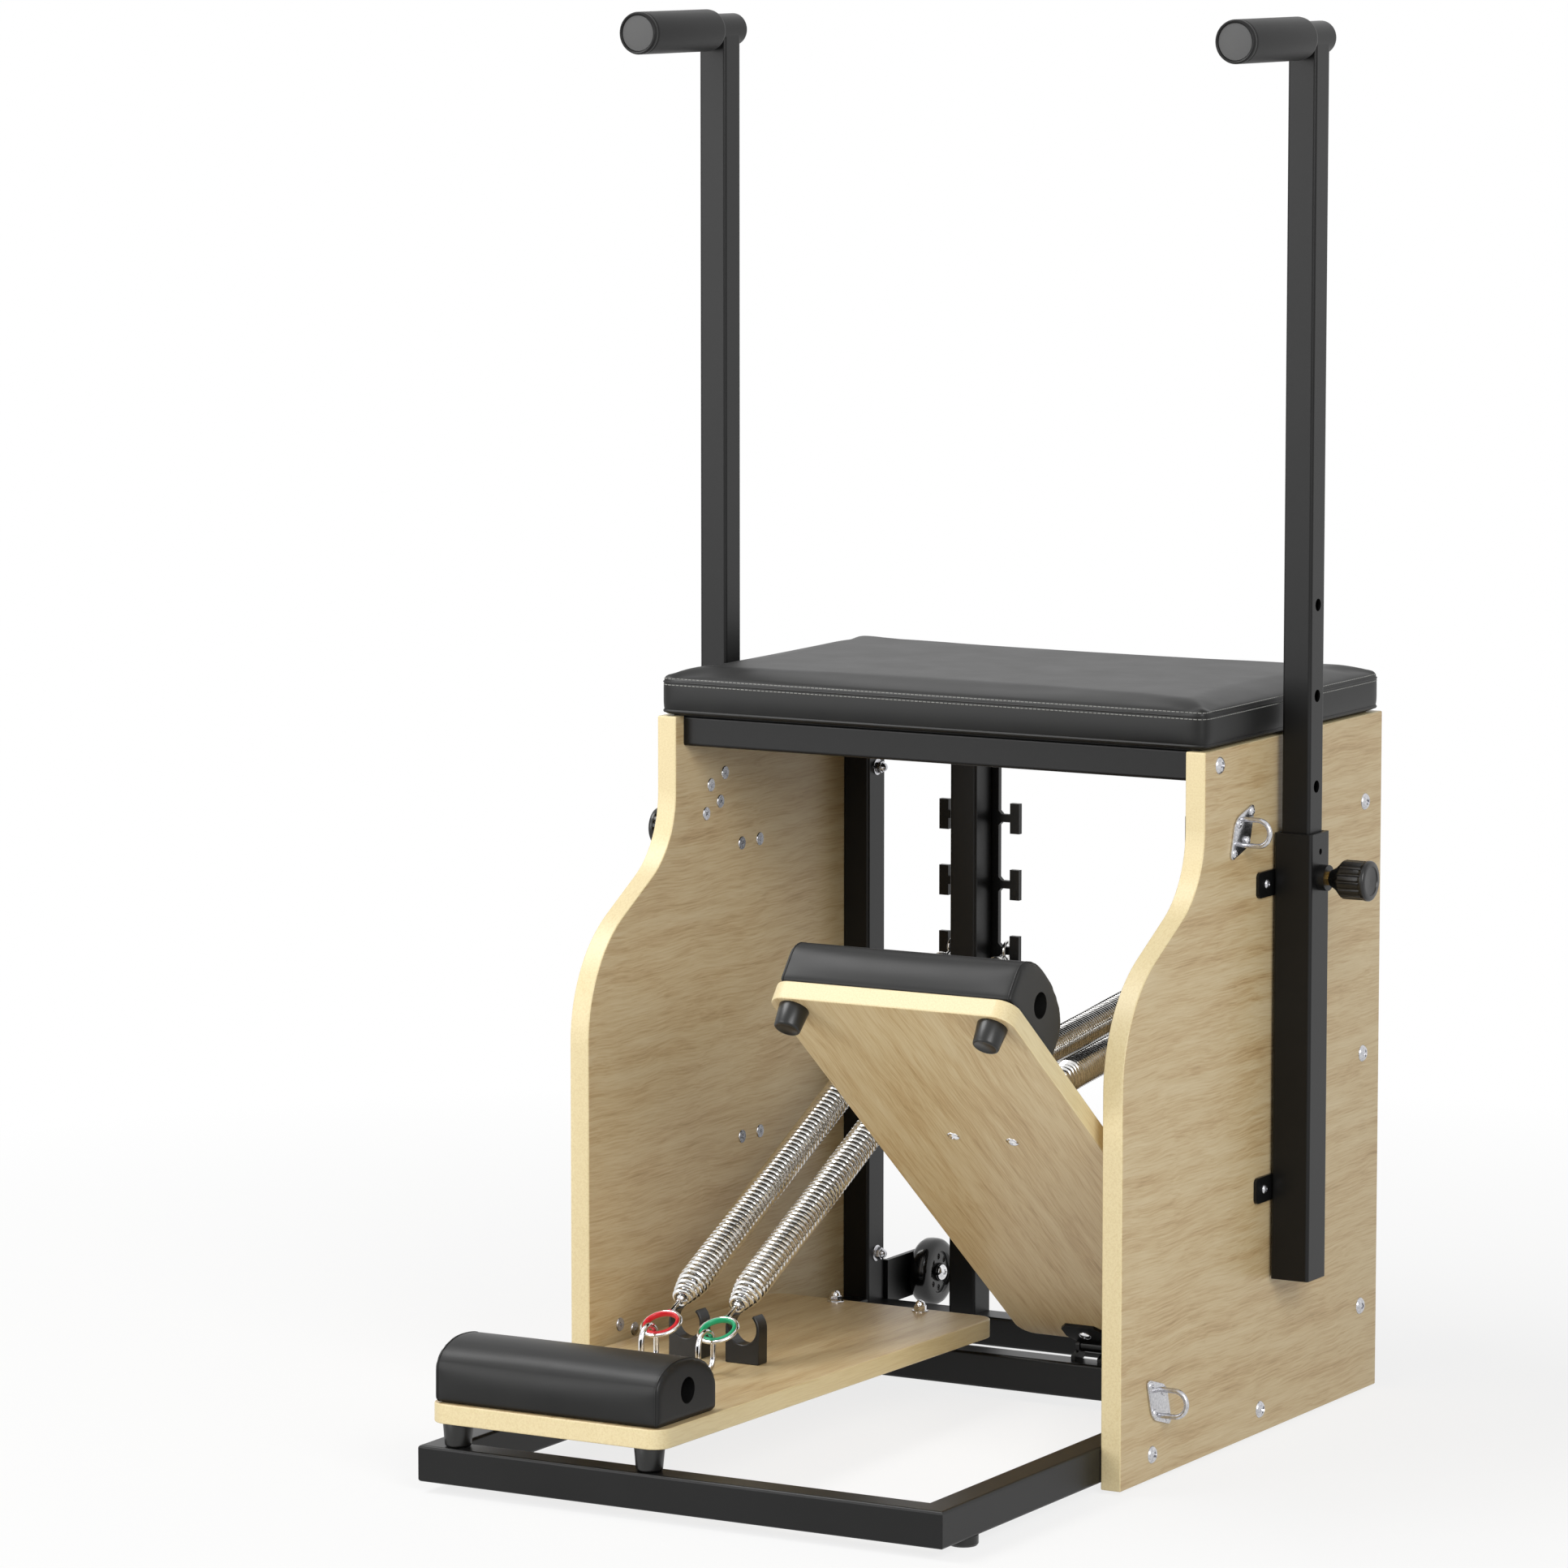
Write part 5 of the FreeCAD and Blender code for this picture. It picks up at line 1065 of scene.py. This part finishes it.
# %% Rubber buffers
BUFFER_OUT, BUFFER_ALONG, BUFFER_TALL = 104, 643, 22.6
LIFT = 1.5
bm = bmesh.new()
turned(bm, [(0, 0), (14.3, 0), (14.5, -0.6), (12.7, -20.6), (12.3, -21.9), (11.4, -22.6), (10.2, -22.6),
            (9.8, -22.3), (0, -22.3)], steps=48)
buffer_template = template("buffer", bm)
for side, sign in SIDES:
    places = [pedal_frames[side] @ at(way * BUFFER_OUT, -BUFFER_ALONG, LIFT) for way in (-1, 1)]
    fit(plain_object(f"{side}_rubber_buffers", copies(buffer_template.data, places), rubber),
        f"{side}_pedal", "black_rubber", f"{side}_pedal_bumpers")

# %% [markdown]
# On top of each pedal stand two link-shaped eyes, bent from round bar and closed, in which the
# spring rings hang. Each is held by a collar with a neck, and by a bolt from below.

# %% Spring eyes
SPRING_OUT, EYE_ALONG = 31.5, 418
EYE_HIGH, EYE_LOW, LINK_RADIUS, LINK_WIRE = 49, 37, 14, 2.75
PEDAL_THICK = 19
EYE_TWIST = 25
for side, sign in SIDES:
    bm = bmesh.new()
    for way in (-1, 1):
        x = way * SPRING_OUT
        ring = wire_ring(bm, LINK_WIRE, (x, -EYE_ALONG - LINK_RADIUS, EYE_LOW), (0, 0, 1), 14)
        ring = go_straight(bm, ring, (0, 0, EYE_HIGH - EYE_LOW))
        ring = go_round(bm, ring, (x, -EYE_ALONG, EYE_HIGH), (1, 0, 0), -180, 18)
        ring = go_straight(bm, ring, (0, 0, EYE_LOW - EYE_HIGH))
        go_round(bm, ring, (x, -EYE_ALONG, EYE_LOW), (1, 0, 0), -180, 18)
    bmesh.ops.remove_doubles(bm, verts=bm.verts, dist=0.01 * MM)
    for way in (-1, 1):
        collar = bmesh.new()
        neck = EYE_LOW - LINK_RADIUS - PEDAL_TOP
        turned(collar, [(0, 0), (7.6, 0), (7.6, 1.0), (7.2, 1.3), (5.4, 1.3), (5.2, 2.2),
                        (3.6, neck + 1), (0, neck + 2)], HEAD_STEPS)
        collar.transform(at(way * SPRING_OUT, -EYE_ALONG, PEDAL_TOP))
        absorb(bm, collar)
    bmesh.ops.recalc_face_normals(bm, faces=bm.faces)
    spots = [(way * SPRING_OUT, -EYE_ALONG, LIFT) for way in (-1, 1)]
    absorb(bm, joined((small_bolt_template, [stand(spot, (0, 0, -1), EYE_TWIST * way)
                                             for spot, way in zip(spots, (-1, 1))]),
                      (shank_template, [rod(spot, (0, 0, -1), BOLT_SHANK, PEDAL_THICK) for spot in spots])))
    bm.transform(pedal_frames[side])
    fit(plain_object(f"{side}_link_eyes", bm, chrome, tidy=False), f"{side}_pedal", "bright_chrome",
        f"{side}_spring_eyes")

# %% [markdown]
# The rests are moulded in black nylon. A rest is a thick hook: a straight foot whose top is a
# ring with its mouth cut open. Spinning a rectangle most of the way round makes the ring, and a
# block from its lowest part down to the board makes the foot.

# %% Spring rests
REST_ALONG, REST_WIDE, REST_DEEP = 341, 37, 17
REST_ROUND, REST_HEIGHT = 15.5, 34
REST_OPENING, REST_LIP = 84, 3


def spring_rest():
    """One rest on XY: a foot with a round hollow, and two arms spun on from the hollow's sides."""
    foot = bmesh.new()
    block(foot, (-REST_WIDE / 2, -REST_DEEP / 2, 0), (REST_WIDE / 2, REST_DEEP / 2, REST_HEIGHT))
    low = [edge for edge in foot.edges if abs(edge.verts[0].co.y - edge.verts[1].co.y) > 10 * MM
           and edge.verts[0].co.z < MM]
    soften(foot, 1.2, 2, low)
    foot = plain_object("rest", foot)
    drum = bmesh.new()
    bmesh.ops.create_cone(drum, cap_ends=True, radius1=REST_ROUND * MM, radius2=REST_ROUND * MM,
                          depth=REST_DEEP * 2 * MM, segments=48,
                          matrix=at(0, 0, REST_HEIGHT) @ Matrix.Rotation(math.pi / 2, 4, "X"))
    cut_away(foot, [plain_object("hollow", drum)])
    rest = bmesh.new()
    rest.from_mesh(foot.data)
    bpy.data.objects.remove(foot)
    arms = bmesh.new()
    for hand in (-1, 1):
        middle = at(hand * (REST_ROUND + REST_LIP / 2), 0, REST_HEIGHT)
        spread = Matrix.Diagonal((REST_LIP * MM, REST_DEEP * MM, 1, 1))
        made = bmesh.ops.create_grid(arms, x_segments=1, y_segments=1, size=0.5, matrix=middle @ spread)
        start = made["verts"]
        faces = list({face for vert in start for face in vert.link_faces})
        spun(arms, with_edges(start) + faces, (0, 0, REST_HEIGHT), (0, 1, 0),
             math.radians(-hand * (90 - REST_OPENING / 2)), 12)
    bmesh.ops.recalc_face_normals(arms, faces=arms.faces)
    absorb(rest, arms)
    bmesh.ops.remove_doubles(rest, verts=rest.verts, dist=0.01 * MM)
    return rest


for side, sign in SIDES:
    bm = bmesh.new()
    for way in (-1, 1):
        rest = spring_rest()
        rest.transform(at(way * SPRING_OUT, -REST_ALONG, PEDAL_TOP))
        absorb(bm, rest)
    bm.transform(pedal_frames[side])
    made = plain_object(f"{side}_spring_rests", bm, nylon)
    edge_round = made.modifiers.new("mould_rounds", "BEVEL")
    edge_round.width = 0.8 * MM
    edge_round.segments = 2
    edge_round.limit_method = "ANGLE"
    edge_round.angle_limit = math.radians(40)
    fit(made, f"{side}_pedal", "black_plastic", f"{side}_spring_cradles")

# %% [markdown]
# At its rear each pedal hangs on two steel leaves. Two bolts go up through leaf and board, with
# their heads below and acorn nuts on top.

# %% Hinge bolts
HINGE_OUT, HINGE_BOLT_ALONG, LEAF_THICK = 48.5, 24, 3
HINGE_HEAD_TWIST, HINGE_NUT_TWIST = 30, 14
for side, sign in SIDES:
    heads, shanks, nuts = [], [], []
    for way in (-1, 1):
        below = (way * HINGE_OUT, -HINGE_BOLT_ALONG, LIFT - LEAF_THICK)
        above = (way * HINGE_OUT, -HINGE_BOLT_ALONG, PEDAL_TOP)
        heads.append(stand(below, (0, 0, -1), HINGE_HEAD_TWIST * way))
        shanks.append(rod(above, (0, 0, 1), BOLT_SHANK, PEDAL_THICK + LEAF_THICK))
        nuts.append(stand(above, (0, 0, 1), HINGE_NUT_TWIST * way))
    bm = joined((small_bolt_template, heads), (shank_template, shanks), (acorn_template, nuts))
    bm.transform(pedal_frames[side])
    fit(plain_object(f"{side}_hinge_bolts", bm, chrome, tidy=False), f"{side}_pedal", "bright_chrome",
        f"{side}_pedal_bolts")

# %% [markdown]
# ## Springs
# Each spring is one wire wound in ninety-six turns, drawn in at both ends. Spinning a ring of
# wire about the spring's line while it climbs gives the coil, and a taper then pulls the first
# and last turns inwards. The coil stretches between the loop on the hook and the bush at its
# foot.

# %% Coils
COIL_RADIUS, COIL_END_RADIUS, COIL_WIRE = 14, 6.6, 1.9
COIL_TURNS, COIL_CONE_TURNS, COIL_STEPS = 96, 6, 18
COIL_FOOT, COIL_TOP = 64, 22


def coil(length):
    """A coil of wire about +Z from its foot to its top, tapered at both ends."""
    bm = bmesh.new()
    low, high = COIL_FOOT, length / MM - COIL_TOP
    rise = (high - low) / (COIL_TURNS * COIL_STEPS)
    ring = wire_ring(bm, COIL_WIRE, (COIL_RADIUS, 0, low), (0, 1, 0), 8)
    spun(bm, ring, (0, 0, 0), (0, 0, 1), 2 * math.pi * COIL_TURNS, COIL_TURNS * COIL_STEPS,
         climb=rise)
    close_ends(bm)
    taper = COIL_CONE_TURNS * COIL_STEPS * rise
    for vert in bm.verts:
        near = min(1.0, max(0.0, min(vert.co.z / MM - low, high - vert.co.z / MM)) / taper)
        share = math.sin(near * math.pi / 2)
        out = Vector((vert.co.x, vert.co.y, 0)).normalized()
        vert.co -= out * (COIL_RADIUS - COIL_END_RADIUS) * (1 - share) * MM
    return bm


def pair(one, side, lift=0.0):
    """Two copies of a mesh about the spring line's origin, one for each spring of a pedal."""
    places = [spring_frames[side] @ Matrix.Translation((way * SPRING_OUT * MM, 0, lift))
              for way in (-1, 1)]
    return copies(settled(one), places)


for side, sign in SIDES:
    length = spring_lengths[side]
    made = plain_object(f"{side}_coil_springs", pair(coil(length), side), spring_wire)
    made.data.shade_smooth()
    foot = spring_frames[side] @ Vector((0, 0, COIL_FOOT * MM))
    top = spring_frames[side] @ Vector((0, 0, length - COIL_TOP * MM))
    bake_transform(made)
    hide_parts(f"{side}_springs")
    print(made.name, len(made.data.polygons), "faces")

# %% [markdown]
# At the top the wire ends in a loop that hangs on an ear of the hook post. At the foot a ring
# with a coloured liner hangs in the pedal's eye, and its headed rod runs up through a conical
# bush into the coil. The colours tell the two springs of a pedal apart.

# %% Loops and rings
LOOP_RADIUS, LOOP_SHANK, LOOP_BEND = 8.5, 40, 4
RING_GAP, RING_RADIUS, RING_WIRE = 25.9, 19, 2
ROD_RADIUS, ROD_REACH = 3, 93


def hook_loop():
    """The loop over a hook's stem, which bends back to the middle and runs into the coil."""
    bm = bmesh.new()
    ring = wire_ring(bm, COIL_WIRE, (0, 0, -LOOP_RADIUS - LOOP_SHANK), (0, 0, 1), 12)
    ring = go_straight(bm, ring, (0, 0, LOOP_SHANK - LOOP_BEND))
    go_round(bm, ring, (0, 5, -LOOP_RADIUS - LOOP_BEND), (1, 0, 0), -28, 6)
    close_ends(bm)
    hoop(bm, COIL_WIRE, (0, 0, LOOP_RADIUS), math.pi / 2, (0, 0, 0), (1, 0, 0), 40)
    return bm


def ring_and_rod():
    """The ring, its neck, and the headed rod with its ball where it enters the coil."""
    bm = bmesh.new()
    hoop(bm, RING_WIRE, (RING_RADIUS, 0, RING_GAP), math.pi, (0, 0, RING_GAP), (0, 1, 0), 56)
    neck = bmesh.new()
    foot = RING_GAP + RING_RADIUS
    turned(neck, [(0, foot - 1), (3.6, foot), (2.6, foot + 4), (2.4, foot + 8), (2.4, foot + 19),
                  (3.8, foot + 20.5), (4.6, foot + 23), (3.8, foot + 25.4), (ROD_RADIUS, foot + 26),
                  (ROD_RADIUS, ROD_REACH), (5.2, ROD_REACH), (5.2, ROD_REACH + 2.6),
                  (4.6, ROD_REACH + 3), (0, ROD_REACH + 3)], 24)
    absorb(bm, neck)
    return bm


print("wire", 2 * COIL_WIRE, "mm, rings", 2 * RING_RADIUS, "mm across")

# %% [markdown]
# The liners are moulded bands with rounded lips, pressed into the rings so that steel doesn't rub
# on steel. The bush is a small cone that the coil's last turns grip. Both are turned, and then
# everything that hangs on the spring line is made for each side, from the top down.

# %% Liners, bushes and all that hangs
LINER_OUTER, LINER_INNER = RING_RADIUS - RING_WIRE + 0.6, RING_RADIUS - RING_WIRE - 2.6
LINER_HALF = 3.0
LINERS = ((-1, "red", red_nylon), (1, "green", green_nylon))
BUSH = [(4.0, 72), (5.2, 72), (5.6, 72.6), (7.0, 83.4), (6.6, 84), (4.0, 84), (4.0, 72)]


def liner_band():
    """A rounded coloured band that lines the ring."""
    bm = bmesh.new()
    outer, inner, half = LINER_OUTER, LINER_INNER, LINER_HALF
    turned(bm, [(outer, -half + 0.6), (outer - 0.8, -half), (inner + 0.9, -half + 0.3),
                (inner, -half + 1.6), (inner, half - 1.6), (inner + 0.9, half - 0.3),
                (outer - 0.8, half), (outer, half - 0.6), (outer, -half + 0.6)], 56)
    bm.transform(at(0, 0, RING_GAP) @ Matrix.Rotation(math.pi / 2, 4, "X"))
    return bm


for side, sign in SIDES:
    fit(plain_object(f"{side}_hook_loops", pair(hook_loop(), side, spring_lengths[side]), spring_wire),
        f"{side}_spring_tops", "spring_steel", f"{side}_spring_hooks")
    fit(plain_object(f"{side}_rings_and_rods", pair(ring_and_rod(), side), chrome),
        f"{side}_swivels", "bright_chrome", f"{side}_spring_swivels")
    for way, colour_name, finish in LINERS:
        band = liner_band()
        band.transform(spring_frames[side] @ at(way * SPRING_OUT, 0, 0))
        fit(plain_object(f"{side}_{colour_name}_liner", band, finish), f"{side}_swivels",
            "liner_plastic", f"{side}_ring_liners")
    bush = bmesh.new()
    turned(bush, BUSH, HEAD_STEPS)
    fit(plain_object(f"{side}_coil_bushes", pair(bush, side), chrome), f"{side}_spring_ends",
        "bright_chrome", f"{side}_spring_plugs")

# %% [markdown]
# ## Knobs and grips
# The knob that pulls each locking pin is moulded nylon. It starts as a circle with many points,
# which is carried up in steps to a neck, a cone and a cylinder, and then the points between the
# ribs are drawn in to make flutes for the fingers. Its end face has a shallow dish, left bare.

# %% Lock knobs
LOCK_SET, LOCK_HEIGHT = 637.5, 546
KNOB_START, KNOB_NECK = 355, 7.6
FLUTES, FLUTE_DEEP, PER_FLUTE = 16, 1.7, 8
FLUTED_RADII, FLUTED_HEIGHTS = (17, 19.2), (10, 36.5)
KNOB_STEPS = ((8.4, 1.0), (9.6, 2.5), (12.2, 4), (16.8, 4.5), (18.6, 2), (18.9, 1), (18.9, 20),
              (18.9, 1.0), (19.3, 1.2), (19.5, 1.2), (19.5, 1.8), (18.9, 1.2), (18.0, 0.6),
              (14.2, 0.0), (13.6, -0.8), (0.02, -0.9))


def knob():
    """A fluted knob about +Z from its neck to its end face."""
    bm = bmesh.new()
    made = bmesh.ops.create_circle(bm, cap_ends=False, radius=KNOB_NECK * MM,
                                   segments=FLUTES * PER_FLUTE)
    ring = with_edges(made["verts"])
    for radius, climb in KNOB_STEPS:
        ring = go_straight(bm, ring, (0, 0, climb))
        verts = [item for item in ring if isinstance(item, bmesh.types.BMVert)]
        now = Vector((verts[0].co.x, verts[0].co.y, 0)).length
        bmesh.ops.scale(bm, verts=verts, vec=(radius * MM / now, radius * MM / now, 1))
    for vert in bm.verts:
        radius = Vector((vert.co.x, vert.co.y, 0)).length / MM
        in_band = FLUTED_RADII[0] < radius < FLUTED_RADII[1]
        if in_band and FLUTED_HEIGHTS[0] < vert.co.z / MM < FLUTED_HEIGHTS[1]:
            angle = math.atan2(vert.co.y, vert.co.x)
            wave = max(0.0, math.cos(angle * FLUTES)) ** 0.6
            shrink = (radius - FLUTE_DEEP * wave) / radius
            vert.co.x *= shrink
            vert.co.y *= shrink
    close_ends(bm)
    return bm


for side, sign in SIDES:
    bm = knob()
    bm.transform(stand((sign * KNOB_START, FRONT + LOCK_SET, LOCK_HEIGHT), (sign, 0, 0)))
    fit(plain_object(f"{side}_fluted_knob", bm, nylon), f"{side}_knob", "black_plastic", f"{side}_lock_knob")

# %% [markdown]
# Between each weld nut and its knob a short hexagon of brass shows. Turning a profile in only six
# steps gives a hexagon, and the neck of the knob hides that its hole is one too.

# %% Brass collars
COLLAR_START, COLLAR_LONG, COLLAR_RADIUS, COLLAR_BORE = 352, 2.3, 7.4, 4.4
bm = bmesh.new()
turned(bm, [(COLLAR_BORE, 0), (COLLAR_RADIUS, 0), (COLLAR_RADIUS, COLLAR_LONG),
            (COLLAR_BORE, COLLAR_LONG), (COLLAR_BORE, 0)], 6)
collar_template = template("collar", bm)
places = [stand((sign * COLLAR_START, FRONT + LOCK_SET, LOCK_HEIGHT), (sign, 0, 0)) for sign in (-1, 1)]
fit(plain_object("brass_collars", copies(collar_template.data, places), brass), "base", "brass")

# %% [markdown]
# The grips are foam sleeves with a fused cap on the front end. The cap stands inside a darker
# rolled rim, and the sleeve's rear end is cut square against the bar. Both are turned shapes.

# %% Foam grips
GRIP_FRONT, GRIP_BACK, GRIP_RADIUS, BAR_HEIGHT, BAR_RADIUS = 478, 616, 20.8, 1347, 16
GRIP_OUT, GRIP_STEPS = 323, 72
for side, sign in SIDES:
    long = GRIP_BACK - GRIP_FRONT
    place = at(sign * GRIP_OUT, FRONT + GRIP_FRONT, BAR_HEIGHT) @ Matrix.Rotation(-math.pi / 2, 4, "X")
    bm = bmesh.new()
    turned(bm, [(17.8, 1.2), (18.4, 0.3), (19.4, 0.0), (20.3, 0.8), (GRIP_RADIUS, 2.4),
                (GRIP_RADIUS, 5.2), (20.1, 6.2), (20.7, 7.4), (GRIP_RADIUS, 9.5),
                (GRIP_RADIUS, long - 5), (20.4, long - 2), (19.0, long - 0.4), (BAR_RADIUS, long),
                (BAR_RADIUS, 5), (17.8, 4), (17.8, 1.2)], GRIP_STEPS)
    bm.transform(place)
    sleeve = fit(plain_object(f"{side}_foam_sleeve", bm, foam), f"{side}_handle", "foam_grip",
                 f"{side}_grip")
    bm = bmesh.new()
    turned(bm, [(0, 0.9), (12, 1.0), (17.2, 1.5), (17.7, 2.2), (17.7, 3.9), (0, 3.9)], GRIP_STEPS)
    bm.transform(place)
    fit(plain_object(f"{side}_grip_cap", bm, fused_foam), f"{side}_handle", "foam_grip", f"{side}_grip")

# %% [markdown]
# ## Transport wheels
# Two wheels behind the chair touch the floor only when it is tipped back. Each is a glossy tyre
# on a moulded hub with round dimples. Turning the profile makes the wheel, and eight small balls
# pressed into each face make the dimples.

# %% Wheels
WHEEL_RADIUS, WHEEL_WIDE, WHEEL_SET, WHEEL_HEIGHT, WHEEL_X = 35, 22, 918, 57, 233
DIMPLES, DIMPLE_AT, DIMPLE_RADIUS, DIMPLE_SUNK = 8, 16.2, 3.4, 2.4
HALF_WHEEL = WHEEL_WIDE / 2
# From the bore out over one face to the middle of the tread: radius, and how far in from the face.
WHEEL_FACE = ((4.4, 0), (9.0, 0), (9.4, 0.6), (9.8, 3.2), (20.5, 3.2), (21.3, 0.7), (22.2, 0), (28.5, 0),
              (32.4, 1.6), (34.4, 4.6), (WHEEL_RADIUS, 8.5))
for side, sign in SIDES:
    near = [(radius, depth - HALF_WHEEL) for radius, depth in WHEEL_FACE]
    far = [(radius, HALF_WHEEL - depth) for radius, depth in reversed(WHEEL_FACE)]
    bm = bmesh.new()
    turned(bm, near + far + near[:1], 64)
    wheel = plain_object(f"{side}_transport_wheel", bm, tyre_gloss)
    cutters = bmesh.new()
    for face in (-1, 1):
        for index in range(DIMPLES):
            angle = 2 * math.pi * index / DIMPLES
            spot = (DIMPLE_AT * math.cos(angle), DIMPLE_AT * math.sin(angle),
                    face * (HALF_WHEEL - DIMPLE_SUNK))
            bmesh.ops.create_icosphere(cutters, subdivisions=2, radius=DIMPLE_RADIUS * MM,
                                       matrix=at(*spot))
    cut_away(wheel, [plain_object("dimples", cutters)])
    wheel.data.transform(stand((sign * WHEEL_X, FRONT + WHEEL_SET, WHEEL_HEIGHT), (1, 0, 0)))
    wheel.data.shade_smooth()
    wheel.data.set_sharp_from_angle(angle=math.radians(35))
    fit(wheel, f"{side}_roller", "gloss_wheel_plastic", f"{side}_wheel")

# %% [markdown]
# Each wheel runs on a bolt between two steel arms. The head is the same as a frame bolt's, and
# the nut is an acorn nut pressed lower, because there is less room behind the arm.

# %% Axles
ARM_THICK, ARM_GAP = 5, 1
AXLE_RADIUS, AXLE_SPARE, AXLE_HEAD_TWIST, AXLE_NUT_TWIST, LOW_NUT = 4, 2, 20, 9, 0.47
heads, shanks, nuts = [], [], []
for side, sign in SIDES:
    outer = WHEEL_X + WHEEL_WIDE / 2 + ARM_GAP + ARM_THICK
    long = WHEEL_WIDE + ARM_THICK + AXLE_SPARE
    end = (sign * outer, FRONT + WHEEL_SET, WHEEL_HEIGHT)
    shanks.append(rod(end, (sign, 0, 0), AXLE_RADIUS, long))
    heads.append(stand((sign * (outer - long), *end[1:]), (-sign, 0, 0), AXLE_HEAD_TWIST))
    nuts.append(stand(end, (sign, 0, 0), AXLE_NUT_TWIST) @ Matrix.Diagonal((1, 1, LOW_NUT, 1)))
bm = joined((bolt_template, heads), (shank_template, shanks), (acorn_template, nuts))
fit(plain_object("wheel_axle_bolts", bm, chrome, tidy=False), "base", "bright_chrome", "wheel_axles")

# %% [markdown]
# The templates have done their work and leave the scene.

# %% Clear up
for made in TEMPLATES:
    bpy.data.objects.remove(made)
